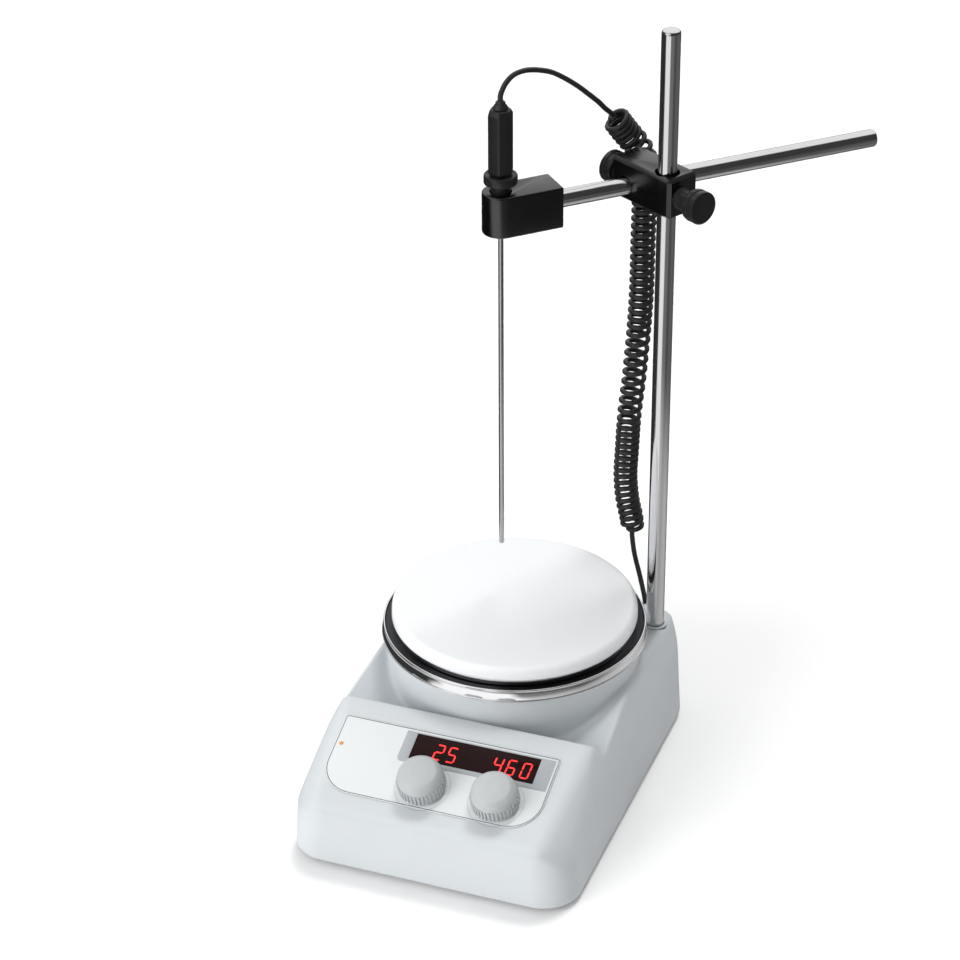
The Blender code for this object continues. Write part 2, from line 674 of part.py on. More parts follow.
def make_plate_stack(bench):
    """Build the plate, its trim ring and what lies between the plate and the housing."""
    plate_bottom = PLATE_TOP - PLATE_THICKNESS
    spigot = plate_bottom - PLATE_SPIGOT
    plate = [(0, spigot), (PLATE_SPIGOT_RADIUS, spigot), (PLATE_SPIGOT_RADIUS, plate_bottom),
             (PLATE_RADIUS - PLATE_EDGE / 2, plate_bottom), (PLATE_RADIUS, plate_bottom + PLATE_EDGE / 2),
             (PLATE_RADIUS, PLATE_TOP - PLATE_EDGE), (PLATE_RADIUS - PLATE_EDGE / 2, PLATE_TOP - PLATE_EDGE / 4),
             (PLATE_RADIUS - PLATE_EDGE, PLATE_TOP), (0, PLATE_TOP)]
    node("hot_plate", turned(plate, ROUND_STEPS), WHITE_CERAMIC, bench)
    ring = [(POD_RADIUS - RING_LIP + GAP, RING_BOTTOM), (RING_RADIUS - RING_LIP, RING_BOTTOM),
            (RING_RADIUS, RING_BOTTOM + RING_LIP), (RING_UPPER_RADIUS, RING_TOP - RING_LIP),
            (RING_UPPER_RADIUS - RING_LIP, RING_TOP), (POD_RADIUS - RING_LIP + GAP, RING_TOP)]
    node("plate_trim_ring", turned(ring, ROUND_STEPS, hollow=True), CHROME, bench)
    shield_bottom = LEDGE_TOP + GAP
    shield_top = shield_bottom + SHIELD_THICKNESS
    shield_radius = POD_RADIUS - RING_LIP - POD_WALL - GAP
    node("heat_shield", cylinder(shield_radius, shield_bottom, shield_top, ROUND_STEPS), STEEL, bench)
    posts = [(POST_CIRCLE * math.cos(turn), POST_CIRCLE * math.sin(turn))
             for turn in [2 * math.pi * step / POST_COUNT for step in range(POST_COUNT)]]
    heater_top = spigot - GAP
    heater_bottom = heater_top - HEATER_THICKNESS
    insulation_top = heater_bottom - GAP
    heater = cylinder(HEATER_RADIUS, heater_bottom, heater_top, ROUND_STEPS)
    insulation = cylinder(INSULATION_RADIUS, shield_top + GAP, insulation_top, ROUND_STEPS)
    for name, shape, finish in (("heater_disc", heater, COPPER), ("insulation_disc", insulation, INSULATION)):
        disc = node(name, shape, finish, bench)
        bore = POST_RADIUS + GAP
        bores = [moved(cylinder(bore, LEDGE_TOP, PLATE_TOP, SMALL_STEPS), (x, y, 0)) for x, y in posts]
        carve(disc, joined(bores))
    for number, (x, y) in enumerate(posts):
        post = cylinder(POST_RADIUS, shield_top + GAP, heater_top, SMALL_STEPS)
        node(f"plate_post_{number + 1}", post, STEEL, bench, (x, y, 0))


def make_drive(bench):
    """Build the motor and the magnets that it turns under the plate."""
    floor = HOUSING_BOTTOM + COVER_THICKNESS + GAP
    bracket_top = floor + BRACKET_HEIGHT
    half_length, half_width = BRACKET_LENGTH / 2, BRACKET_WIDTH / 2
    bracket = node("motor_bracket", block((-half_length, -half_width, bracket_top - BRACKET_THICKNESS),
                                          (half_length, half_width, bracket_top)), STEEL, bench)
    legs = []
    for x in (BRACKET_LEG_RADIUS - half_length, half_length - BRACKET_LEG_RADIUS):
        for y in (BRACKET_LEG_RADIUS - half_width, half_width - BRACKET_LEG_RADIUS):
            leg = cylinder(BRACKET_LEG_RADIUS, floor, bracket_top - BRACKET_THICKNESS / 2, SMALL_STEPS)
            legs.append(moved(leg, (x, y, 0)))
    carve(bracket, joined(legs), "UNION")
    motor_bottom = bracket_top + GAP
    motor_top = motor_bottom + MOTOR_HEIGHT
    can = cylinder(MOTOR_RADIUS, motor_bottom, motor_top, MIDDLE_STEPS, MOTOR_EDGE)
    motor = node("motor_body", can, DARK_STEEL, bench)
    shaft_foot = motor_top - SHAFT_BITE
    carve(motor, cylinder(SHAFT_RADIUS + RUN_GAP, shaft_foot - GAP, motor_top + OVERRUN, SMALL_STEPS))
    axis = frame("magnet_axis", (0, 0, 0), parent=bench)
    node("motor_shaft", cylinder(SHAFT_RADIUS, shaft_foot, YOKE_BOTTOM - GAP, SMALL_STEPS), STEEL, axis)
    half, wide = YOKE_LENGTH / 2, YOKE_WIDTH / 2
    yoke_top = YOKE_BOTTOM + YOKE_THICKNESS
    node("magnet_yoke", block((-half, -wide, YOKE_BOTTOM), (half, wide, yoke_top)), DARK_STEEL, axis)
    for name, side in (("north", -1), ("south", 1)):
        magnet = cylinder(MAGNET_RADIUS, yoke_top + GAP, yoke_top + GAP + MAGNET_HEIGHT, MIDDLE_STEPS)
        node(f"{name}_magnet", magnet, STEEL, axis, (side * MAGNET_CIRCLE, 0, 0))


def knob_shape():
    """Make a hollow knob with a ribbed skirt and a domed cap, its foot at zero height."""
    shoulder = KNOB_HEIGHT - KNOB_WALL
    inner = KNOB_CAP_RADIUS - KNOB_WALL
    shape = turned([(0, shoulder), (inner, shoulder - KNOB_WALL), (inner, 0), (KNOB_RADIUS, 0),
                    (KNOB_RADIUS, KNOB_SKIRT), (KNOB_CAP_RADIUS, KNOB_SKIRT + KNOB_WALL),
                    (KNOB_CAP_RADIUS * math.cos(math.pi / 6), shoulder),
                    (KNOB_CAP_RADIUS / 2, KNOB_HEIGHT - KNOB_WALL / 3), (0, KNOB_HEIGHT)], KNOB_RIBS)
    for vert in shape.verts:
        radius = math.hypot(vert.co.x, vert.co.y)
        rib = round(math.atan2(vert.co.y, vert.co.x) * KNOB_RIBS / (2 * math.pi)) % 2
        if rib and radius > KNOB_CAP_RADIUS + GAP:
            vert.co.x *= 1 - RUN_GAP / KNOB_RADIUS
            vert.co.y *= 1 - RUN_GAP / KNOB_RADIUS
    return shape


def make_control(panel, name, across):
    """Build one knob with its rotary encoder, nut and shaft."""
    board_top = -BOARD_DEPTH_BELOW
    place = panel_place(across, KNOB_DOWN)
    half = ENCODER_SIDE / 2
    encoder_top = board_top + GAP + ENCODER_DEPTH
    encoder = node(f"{name}_encoder", block((-half, -half, board_top + GAP), (half, half, encoder_top)),
                   BLACK_PLASTIC, panel, place)
    bush_top = OVERLAY_THICKNESS + NUT_THICKNESS + GAP * 3
    carve(encoder, cylinder(BUSH_RADIUS, encoder_top - GAP, bush_top, SMALL_STEPS), "UNION")
    carve(encoder, cylinder(STEM_RADIUS + GAP, encoder_top - STEM_BITE / 2 - GAP, bush_top + OVERRUN, SMALL_STEPS))
    nut_bottom = OVERLAY_THICKNESS + GAP * 2
    nut = tube(BUSH_RADIUS + GAP, NUT_RADIUS, nut_bottom, nut_bottom + NUT_THICKNESS, NUT_SIDES * 2)
    node(f"{name}_nut", nut, STEEL, panel, place)
    axis = frame(f"{name}_axis", place, parent=panel)
    foot = OVERLAY_THICKNESS + GAP + KNOB_LIFT
    stem_top = foot + KNOB_HEIGHT - KNOB_WALL * 2
    node(f"{name}_stem", cylinder(STEM_RADIUS, encoder_top - STEM_BITE / 2, stem_top, SMALL_STEPS), STEEL, axis)
    knob = node(f"{name}_knob", knob_shape(), KNOB_GREY, axis, (0, 0, foot))
    hub_foot, hub_top = NUT_THICKNESS + KNOB_WALL, KNOB_HEIGHT - KNOB_WALL
    hub = tube(STEM_RADIUS + GAP, KNOB_HUB_RADIUS + KNOB_WALL / 2, hub_foot, hub_top, SMALL_STEPS)
    carve(knob, hub, "UNION")
    carve(knob, cylinder(STEM_RADIUS + GAP, 0, stem_top - foot + GAP, SMALL_STEPS))


def make_panel(bench):
    """Build everything that the sloping front panel carries."""
    panel = frame("panel_frame", (0, RIDGE_Y, RIDGE_HEIGHT), (PANEL_SLOPE, 0, 0), bench)
    corners = [OVERLAY_CORNER, OVERLAY_SMALL_CORNER, OVERLAY_SMALL_CORNER, OVERLAY_CORNER]
    outline = rounded_outline(OVERLAY_LEFT, OVERLAY_RIGHT, -OVERLAY_BOTTOM, -OVERLAY_TOP, corners, OVERLAY_STEPS)
    overlay = node("panel_overlay", prism(outline, GAP, GAP + OVERLAY_THICKNESS), OVERLAY_WHITE, panel)
    holes = [block(panel_place(WINDOW_LEFT - GAP, WINDOW_BOTTOM + GAP, -OVERRUN),
                   panel_place(WINDOW_RIGHT + GAP, WINDOW_TOP - GAP, OVERRUN))]
    for across in (TEMP_KNOB_X, SPEED_KNOB_X):
        bore = cylinder(BUSH_RADIUS + GAP, -OVERRUN, OVERRUN, SMALL_STEPS)
        holes.append(moved(bore, panel_place(across, KNOB_DOWN)))
    light = cylinder(INDICATOR_RADIUS + GAP, -OVERRUN, OVERRUN, SMALL_STEPS)
    holes.append(moved(light, panel_place(INDICATOR_X, INDICATOR_DOWN)))
    carve(overlay, joined(holes))
    node("display_window", block(panel_place(WINDOW_LEFT, WINDOW_BOTTOM, GAP),
                                 panel_place(WINDOW_RIGHT, WINDOW_TOP, GAP + WINDOW_THICKNESS)), DISPLAY_RED, panel)
    module_foot = GAP - BOARD_DEPTH_BELOW
    module = block(panel_place(WINDOW_LEFT + DISPLAY_MARGIN, WINDOW_BOTTOM - DISPLAY_MARGIN, module_foot),
                   panel_place(WINDOW_RIGHT - DISPLAY_MARGIN, WINDOW_TOP + DISPLAY_MARGIN, 0))
    node("display_module", module, BLACK_PLASTIC, panel)
    lens = cylinder(INDICATOR_RADIUS, module_foot, GAP + OVERLAY_THICKNESS, SMALL_STEPS)
    node("power_indicator", lens, AMBER, panel, panel_place(INDICATOR_X, INDICATOR_DOWN))
    node("control_board", block(panel_place(BOARD_LEFT, BOARD_BOTTOM, -BOARD_DEPTH_BELOW - BOARD_THICKNESS),
                                panel_place(BOARD_RIGHT, BOARD_TOP, -BOARD_DEPTH_BELOW)), BOARD_GREEN, panel)
    make_control(panel, "temp", TEMP_KNOB_X)
    make_control(panel, "speed", SPEED_KNOB_X)


def make_rear(bench):
    """Build the mains inlet, the power switch, the sensor socket and the power board."""
    wide, high = INLET_WIDTH / 2, INLET_TALL / 2
    inner = REAR_Y - INLET_DEPTH
    flange = REAR_Y + GAP + INLET_FLANGE_THICKNESS
    inlet = node("mains_inlet", block((-wide, inner, -high), (wide, flange, high)), BLACK_PLASTIC, bench,
                 (INLET_X, 0, INLET_HEIGHT))
    rim = block((-wide - INLET_FLANGE, REAR_Y + GAP, -high - INLET_FLANGE),
                (wide + INLET_FLANGE, flange, high + INLET_FLANGE))
    carve(inlet, rim, "UNION")
    carve(inlet, block((INLET_WALL - wide, inner + INLET_FLOOR, INLET_WALL - high),
                       (wide - INLET_WALL, flange + OVERRUN, high - INLET_WALL)))
    pins = []
    for across, lift in ((-PIN_SPREAD, -PIN_LIFT), (0, PIN_LIFT), (PIN_SPREAD, -PIN_LIFT)):
        pins.append(block((across - PIN_WIDTH / 2, inner + INLET_FLOOR / 2, lift - PIN_TALL / 2),
                          (across + PIN_WIDTH / 2, inner + INLET_FLOOR + PIN_LENGTH, lift + PIN_TALL / 2)))
    carve(inlet, joined(pins), "UNION")
    wide, high = ROCKER_FRAME_WIDTH / 2, ROCKER_FRAME_TALL / 2
    inner = REAR_Y - ROCKER_DEPTH
    rocker_frame = node("rocker_frame", block((-wide, inner, -high), (wide, flange, high)), BLACK_PLASTIC, bench,
                        (ROCKER_X, 0, ROCKER_HEIGHT))
    rim_size = ROCKER_FRAME_WALL
    rim = block((-wide - rim_size, REAR_Y + GAP, -high - rim_size), (wide + rim_size, flange, high + rim_size))
    carve(rocker_frame, rim, "UNION")
    carve(rocker_frame, block((ROCKER_FRAME_WALL - wide, inner + ROCKER_FRAME_WALL, ROCKER_FRAME_WALL - high),
                              (wide - ROCKER_FRAME_WALL, flange + OVERRUN, high - ROCKER_FRAME_WALL)))
    pivot = frame("rocker_axis", (ROCKER_X, REAR_Y - ROCKER_THICKNESS / 2, ROCKER_HEIGHT), parent=bench)
    key_half = high - ROCKER_FRAME_WALL - RUN_GAP * 2
    key_wide = wide - ROCKER_FRAME_WALL - GAP
    bulge = ROCKER_THICKNESS / 2 + ROCKER_PROUD
    lean = key_half * math.tan(ROCKER_TILT)
    key = [(-ROCKER_THICKNESS / 2, -key_half / 2), (bulge + lean, -key_half), (bulge, 0), (bulge + lean, key_half),
           (-ROCKER_THICKNESS / 2, key_half / 2)]
    node("power_rocker", side_prism(key, key_wide), BLACK_PLASTIC, pivot, (0, 0, 0), (ROCKER_TILT, 0, 0))
    inner = REAR_Y - SOCKET_DEPTH
    rim = REAR_Y + GAP + SOCKET_FLANGE_THICKNESS
    seat, bottom = REAR_Y + GAP, inner + WALL
    socket = [(0, inner), (SOCKET_RADIUS, inner), (SOCKET_RADIUS, seat), (SOCKET_FLANGE_RADIUS, seat),
              (SOCKET_FLANGE_RADIUS, rim), (SOCKET_BORE, rim), (SOCKET_BORE, bottom), (0, bottom)]
    node("sensor_socket", laid_back(turned(socket, MIDDLE_STEPS)), STEEL, bench, (SOCKET_X, 0, SOCKET_HEIGHT))
    floor = HOUSING_BOTTOM + COVER_THICKNESS + GAP
    half, wide = POWER_BOARD_LENGTH / 2, POWER_BOARD_WIDTH / 2
    sheet = block((-half, -wide, POWER_BOARD_HEIGHT), (half, wide, POWER_BOARD_HEIGHT + BOARD_THICKNESS))
    board = node("power_board", sheet, BOARD_GREEN, bench, (POWER_BOARD_X, POWER_BOARD_Y, 0))
    spacers = []
    for x in (POST_RADIUS - half, half - POST_RADIUS):
        for y in (POST_RADIUS - wide, wide - POST_RADIUS):
            spacer = cylinder(POST_RADIUS, floor, POWER_BOARD_HEIGHT + BOARD_THICKNESS / 2, SMALL_STEPS)
            spacers.append(moved(spacer, (x, y, 0)))
    carve(board, joined(spacers), "UNION")
    core_top = POWER_BOARD_HEIGHT + BOARD_THICKNESS + TRANSFORMER_HEIGHT
    core = block((-TRANSFORMER_LENGTH / 2, -TRANSFORMER_WIDTH / 2, POWER_BOARD_HEIGHT + BOARD_THICKNESS / 2),
                 (TRANSFORMER_LENGTH / 2, TRANSFORMER_WIDTH / 2, core_top))
    carve(board, core, "UNION")


def make_rod(bench):
    """Build the support rod, its bush and the collar at its foot, and give the rod's axis."""
    foot = deck_height(ROD_Y) - ROD_BITE
    deck = deck_height(ROD_Y)
    bore = ROD_RADIUS + GAP
    floor = foot + GAP + BUSH_WALL
    bush = [(0, foot), (bore + BUSH_WALL, foot), (bore + BUSH_WALL, deck), (bore, deck), (bore, floor), (0, floor)]
    node("rod_bush", turned(bush, MIDDLE_STEPS), STEEL, bench, (ROD_X, ROD_Y, 0))
    collar = tube(bore, COLLAR_RADIUS, deck + GAP, deck + GAP + COLLAR_HEIGHT, MIDDLE_STEPS)
    node("rod_collar", collar, HOUSING_GREY, bench, (ROD_X, ROD_Y, 0))
    axis = frame("mast_axis", (ROD_X, ROD_Y, 0), parent=bench)
    rod_foot = foot + BUSH_WALL + GAP * 2
    node("support_rod", cylinder(ROD_RADIUS, rod_foot, ROD_TOP, MIDDLE_STEPS, ROD_DOME), STEEL, axis)
    return axis


def thumb_screw(length, neck):
    """Make a thumbscrew along X, its collar at zero and its stem pointing back along X."""
    tip = neck + THUMB_THICKNESS
    profile = [(0, -length), (THUMB_STEM_RADIUS, -length), (THUMB_STEM_RADIUS, GAP), (THUMB_NECK_RADIUS, GAP),
               (THUMB_NECK_RADIUS, neck), (THUMB_RADIUS - THUMB_EDGE / 2, neck), (THUMB_RADIUS, neck + THUMB_EDGE),
               (THUMB_RADIUS, tip - THUMB_EDGE), (THUMB_RADIUS - THUMB_EDGE, tip), (0, tip)]
    return laid_right(turned(profile, MIDDLE_STEPS))


def make_boss(mast):
    """Build the boss head with its two thumbscrews, and give the arm's frame."""
    boss_frame = frame("boss_frame", (0, 0, ARM_HEIGHT), (0, 0, BOSS_AXIS), mast)
    low, high = -BOSS_BELOW_ARM, BOSS_ABOVE_ARM
    head = block((BOSS_LEFT, BOSS_FRONT, low), (BOSS_RIGHT, BOSS_BACK, high), BOSS_EDGE)
    boss = node("boss_head", head, BLACK_ANODISED, boss_frame)
    reach = BOSS_BACK - BOSS_FRONT + OVERRUN
    arm_bore = laid_right(cylinder(ARM_BORE, -reach, reach, MIDDLE_STEPS))
    turn = ARM_AXIS - BOSS_AXIS
    for vert in arm_bore.verts:
        x, y, z = vert.co
        along = x * math.cos(turn) - y * math.sin(turn) - BOSS_ARM_OFFSET
        vert.co = (along, x * math.sin(turn) + y * math.cos(turn), z)
    rod_bore = cylinder(BOSS_ROD_BORE, low - OVERRUN, high + OVERRUN, MIDDLE_STEPS)
    carve(boss, rod_bore)
    carve(boss, arm_bore)
    rod_stem = BOSS_RIGHT - ROD_RADIUS - GAP
    arm_side = ARM_RADIUS / math.sin(turn) + THUMB_STEM_RADIUS / math.tan(turn)
    arm_stem = -BOSS_LEFT - BOSS_ARM_OFFSET - arm_side - GAP
    hole = THUMB_STEM_RADIUS + GAP
    right_hole = cylinder(hole, BOSS_ROD_BORE - RUN_GAP * 2, BOSS_RIGHT + OVERRUN, SMALL_STEPS)
    left_hole = cylinder(hole, BOSS_LEFT - OVERRUN, RUN_GAP * 2 - BOSS_ARM_OFFSET - ARM_BORE, SMALL_STEPS)
    carve(boss, moved(joined([laid_right(right_hole), laid_right(left_hole)]), (0, 0, THUMB_LIFT)))
    rod_screw = frame("rod_screw_axis", (BOSS_RIGHT, 0, THUMB_LIFT), parent=boss_frame)
    node("rod_thumbscrew", thumb_screw(rod_stem, ROD_SCREW_NECK), BLACK_PLASTIC, rod_screw)
    arm_screw = frame("arm_screw_axis", (BOSS_LEFT, 0, THUMB_LIFT), (0, 0, math.pi), boss_frame)
    node("arm_thumbscrew", thumb_screw(arm_stem, ARM_SCREW_NECK), BLACK_PLASTIC, arm_screw)
    return frame("arm_frame", (-BOSS_ARM_OFFSET, 0, 0), (0, 0, turn), boss_frame)


def holder_outline():
    """Give the holder's plan: a round nose about the probe and a square rear end."""
    radius = HOLDER_WIDTH / 2
    turns = [math.pi / 2 + math.pi * step / HOLDER_STEPS for step in range(HOLDER_STEPS + 1)]
    nose = [(radius * math.cos(turn), radius * math.sin(turn)) for turn in turns]
    return nose + [(HOLDER_LENGTH, -radius), (HOLDER_LENGTH, radius)]


def make_arm(arm_frame):
    """Build the arm and the holder on its front end, and give the probe's axis."""
    start = -HOLDER_FROM_BOSS - ARM_BITE
    arm = laid_right(cylinder(ARM_RADIUS, start, ARM_BEHIND, MIDDLE_STEPS, THUMB_EDGE / 2))
    node("arm_rod", arm, STEEL, arm_frame)
    probe_axis = frame("probe_axis", (-HOLDER_FROM_BOSS - HOLDER_LENGTH, 0, -ARM_HEIGHT), parent=arm_frame)
    holder = node("sensor_holder", prism(holder_outline(), HOLDER_BOTTOM, HOLDER_TOP), BLACK_ANODISED, probe_axis)
    socket = cylinder(ARM_RADIUS + GAP, HOLDER_LENGTH - ARM_BITE - GAP, HOLDER_LENGTH + OVERRUN, MIDDLE_STEPS)
    carve(holder, moved(laid_right(socket), (0, 0, ARM_HEIGHT)))
    below, floor, above = HOLDER_BOTTOM - OVERRUN, HOLDER_TOP - SEAT_DEPTH, HOLDER_TOP + OVERRUN
    seat = [(0, below), (SHEATH_BORE, below), (SHEATH_BORE, floor), (SEAT_RADIUS, floor), (SEAT_RADIUS, above),
            (0, above)]
    carve(holder, turned(seat, MIDDLE_STEPS))
    return probe_axis


def make_probe(probe_axis):
    """Build the probe: neck and collar, hexagonal handle, gland and steel sheath."""
    neck_foot = HOLDER_TOP - SEAT_DEPTH + GAP
    collar_top = COLLAR_BOTTOM + PROBE_COLLAR_TALL
    bore = SHEATH_RADIUS + GAP
    collar = [(bore, neck_foot), (PROBE_NECK_RADIUS, neck_foot), (PROBE_NECK_RADIUS, COLLAR_BOTTOM),
              (PROBE_COLLAR_RADIUS - FOOT_EDGE, COLLAR_BOTTOM), (PROBE_COLLAR_RADIUS, COLLAR_BOTTOM + FOOT_EDGE),
              (PROBE_COLLAR_RADIUS, collar_top - FOOT_EDGE), (PROBE_COLLAR_RADIUS - FOOT_EDGE, collar_top),
              (bore, collar_top)]
    node("probe_collar", turned(collar, MIDDLE_STEPS, hollow=True), BLACK_PLASTIC, probe_axis)
    corner = HANDLE_FLAT / math.cos(math.pi / NUT_SIDES)
    foot = collar_top + GAP
    handle = cylinder(corner, foot, HANDLE_TOP, NUT_SIDES, FOOT_EDGE)
    handle_node = node("probe_handle", handle, BLACK_PLASTIC, probe_axis)
    carve(handle_node, cylinder(bore, foot - OVERRUN, foot + THUMB_THICKNESS + GAP, SMALL_STEPS))
    gland = turned([(0, HANDLE_TOP + GAP), (GLAND_RADIUS, HANDLE_TOP + GAP),
                    (GLAND_TIP_RADIUS, HANDLE_TOP + GLAND_HEIGHT), (0, HANDLE_TOP + GLAND_HEIGHT)], MIDDLE_STEPS)
    node("probe_gland", gland, BLACK_RUBBER, probe_axis)
    sheath = cylinder(SHEATH_RADIUS, SHEATH_TIP, foot + THUMB_THICKNESS, SMALL_STEPS, SHEATH_RADIUS / 2)
    node("probe_sheath", sheath, STEEL, probe_axis)


def smooth_path(route, step):
    """Read points at even steps from a smooth curve through a route's own points."""
    points = [Vector(point) for point in route]
    ends = [points[0] * 2 - points[1]] + points + [points[-1] * 2 - points[-2]]
    fine = []
    for index in range(1, len(ends) - 2):
        before, start, end, after = ends[index - 1:index + 3]
        parts = max(8, round((end - start).length / (step / 8)))
        for part in range(parts):
            t = part / parts
            square = 2 * before - 5 * start + 4 * end - after
            cube = 3 * start - before - 3 * end + after
            fine.append(0.5 * (2 * start + (end - before) * t + square * t ** 2 + cube * t ** 3))
    fine.append(points[-1])
    lengths = [0]
    for first, second in zip(fine, fine[1:]):
        lengths.append(lengths[-1] + (second - first).length)
    count = max(2, round(lengths[-1] / step))
    even = []
    index = 0
    for number in range(count + 1):
        wanted = lengths[-1] * number / count
        while index < len(lengths) - 2 and lengths[index + 1] < wanted:
            index += 1
        span = lengths[index + 1] - lengths[index]
        share = (wanted - lengths[index]) / span if span > 0 else 0
        even.append(fine[index].lerp(fine[index + 1], share))
    return even, lengths[-1]


def curl_pitch(share, pitches, shares):
    """Give the pitch at a share of a coil's length, blended where it changes."""
    pitch = pitches[0]
    for start, following in zip(shares, pitches[1:]):
        blend = min(max((share - start) / PITCH_BLEND_SHARE + 1 / 2, 0), 1)
        pitch += (following - pitch) * blend
    return pitch


def curled_path(route, curl_radius, pitches, shares):
    """Wind a curly cord round a route, with straight ends on the route itself."""
    spine, length = smooth_path(route, CORD_RADIUS)
    straight = 2 * CORD_RADIUS
    start_way = (spine[1] - spine[0]).normalized()
    end_way = (spine[-1] - spine[-2]).normalized()
    side = start_way.orthogonal().normalized()
    turns = [0]
    for index in range(1, len(spine)):
        walked = (spine[index] - spine[index - 1]).length
        turns.append(turns[-1] + walked / curl_pitch(index / len(spine), pitches, shares))
    sides = [side]
    for index in range(1, len(spine)):
        way = (spine[min(index + 1, len(spine) - 1)] - spine[index - 1]).normalized()
        side = (side - way * side.dot(way)).normalized()
        sides.append(side)
    points = [spine[0] + start_way * GAP / 2, spine[0] + start_way * straight]
    first = next(index for index, turn in enumerate(turns) if (spine[index] - spine[0]).length > straight * 1.5)
    last = len(spine) - first
    count = round((turns[last] - turns[first]) * CURL_POINTS)
    index = first
    for number in range(count + 1):
        wanted = turns[first] + (turns[last] - turns[first]) * number / count
        while index < last and turns[index + 1] < wanted:
            index += 1
        share = (wanted - turns[index]) / (turns[index + 1] - turns[index])
        centre = spine[index].lerp(spine[index + 1], share)
        way = (spine[index + 1] - spine[index]).normalized()
        nearest_end = min(wanted - turns[first], turns[last] - wanted)
        ramp = min(nearest_end / CURL_RAMP_TURNS, 1)
        radius = curl_radius * ramp * ramp * (3 - 2 * ramp)
        turn = 2 * math.pi * wanted
        out = sides[index] * math.cos(turn) + way.cross(sides[index]) * math.sin(turn)
        points.append(centre + out * radius)
    points += [spine[-1] - end_way * straight, spine[-1] - end_way * GAP / 2]
    return points, length


def least_gap(points):
    """Measure how near a curled cord's surface comes to itself."""
    least = math.inf
    walked = [0]
    for start, end in zip(points, points[1:]):
        walked.append(walked[-1] + (end - start).length)
    for index, point in enumerate(points):
        for other in range(index + 1, min(index + 4 * CURL_POINTS, len(points) - 1)):
            if walked[other] - walked[index] < OWN_LENGTH:
                continue
            start, end = points[other], points[other + 1]
            span = end - start
            share = min(max((point - start).dot(span) / span.length_squared, 0), 1)
            least = min(least, (start + span * share - point).length)
    return least - 2 * CORD_RADIUS


def cord(name, points, parent, resolution):
    """Add a cord as a round tube with closed ends along its points."""
    curve = bpy.data.curves.new(name, "CURVE")
    curve.dimensions = "3D"
    curve.bevel_depth = CORD_RADIUS
    curve.bevel_resolution = resolution
    curve.use_fill_caps = True
    spline = curve.splines.new("POLY")
    spline.points.add(len(points) - 1)
    for target, point in zip(spline.points, points):
        target.co = (*point, 1)
    made = bpy.data.objects.new(name, curve)
    bpy.context.collection.objects.link(made)
    curve.materials.append(material(name + "_finish", BLACK_RUBBER))
    made.parent = parent
    return made


def make_lead(bench):
    """Build the probe's lead: arc, two stretches of curls, lower lead and angled plug."""
    reach = HOLDER_FROM_BOSS + HOLDER_LENGTH
    probe_x = ROD_X - BOSS_ARM_OFFSET * math.cos(BOSS_AXIS) - reach * math.cos(ARM_AXIS)
    probe_y = ROD_Y - BOSS_ARM_OFFSET * math.sin(BOSS_AXIS) - reach * math.sin(ARM_AXIS)
    gland_top = HANDLE_TOP + GLAND_HEIGHT + GAP
    arc = ARC_ROUTE + [(probe_x, probe_y, gland_top + CORD_RADIUS * 2), (probe_x, probe_y, gland_top)]
    arc_points, arc_length = smooth_path(arc, CORD_POINT_STEP)
    arc_points[0] = arc_points[0] + (arc_points[1] - arc_points[0]).normalized() * GAP / 2
    cord("lead_arc", arc_points, bench, 2)
    upper, upper_length = curled_path(UPPER_ROUTE, UPPER_CURL, UPPER_PITCHES, UPPER_PITCH_SHARES)
    cord("coil_upper", upper, bench, 1)
    hanging, hanging_length = curled_path(HANGING_ROUTE, HANGING_CURL, HANGING_PITCHES, HANGING_PITCH_SHARES)
    cord("coil_hanging", hanging, bench, 1)
    plug_top = SOCKET_HEIGHT + PLUG_NECK_RISE
    down = DOWN_ROUTE + [(SOCKET_X, COIL_Y, plug_top + GAP + CORD_RADIUS * 4), (SOCKET_X, COIL_Y, plug_top + GAP)]
    down_points, down_length = smooth_path(down, CORD_POINT_STEP)
    down_points[0] = down_points[0] + (down_points[1] - down_points[0]).normalized() * GAP / 2
    cord("lead_lower", down_points, bench, 2)
    print("least gap of the upper curls in mm", round(least_gap(upper) * 1000, 2))
    print("least gap of the hanging curls in mm", round(least_gap(hanging) * 1000, 2))
    lengths = (arc_length, upper_length, hanging_length, down_length)
    print("spine lengths in mm", [round(size * 1000, 1) for size in lengths])
    pin_start = REAR_Y + GAP + SOCKET_FLANGE_THICKNESS
    plug_end = COIL_Y + PLUG_RADIUS
    plug = [(0, pin_start - PLUG_PIN_LENGTH), (PLUG_PIN_RADIUS, pin_start - PLUG_PIN_LENGTH),
            (PLUG_PIN_RADIUS, pin_start + GAP), (PLUG_RADIUS, pin_start + GAP),
            (PLUG_RADIUS, plug_end - PLUG_NECK_RADIUS), (PLUG_NECK_RADIUS, plug_end), (0, plug_end)]
    plug_shape = laid_back(turned(plug, MIDDLE_STEPS))
    plug_node = node("sensor_plug", plug_shape, BLACK_PLASTIC, bench, (SOCKET_X, 0, SOCKET_HEIGHT))
    neck = moved(cylinder(PLUG_NECK_RADIUS, 0, PLUG_NECK_RISE, SMALL_STEPS), (0, COIL_Y, 0))
    carve(plug_node, neck, "UNION")


def main():
    """Build the whole object."""
    clear_scene()
    bench = frame("bench_frame", (0, 0, -PLATE_TOP))
    make_housing(bench)
    make_bottom(bench)
    make_plate_stack(bench)
    make_drive(bench)
    make_panel(bench)
    make_rear(bench)
    mast = make_rod(bench)
    arm_frame = make_boss(mast)
    probe_axis = make_arm(arm_frame)
    make_probe(probe_axis)
    make_lead(bench)


main()
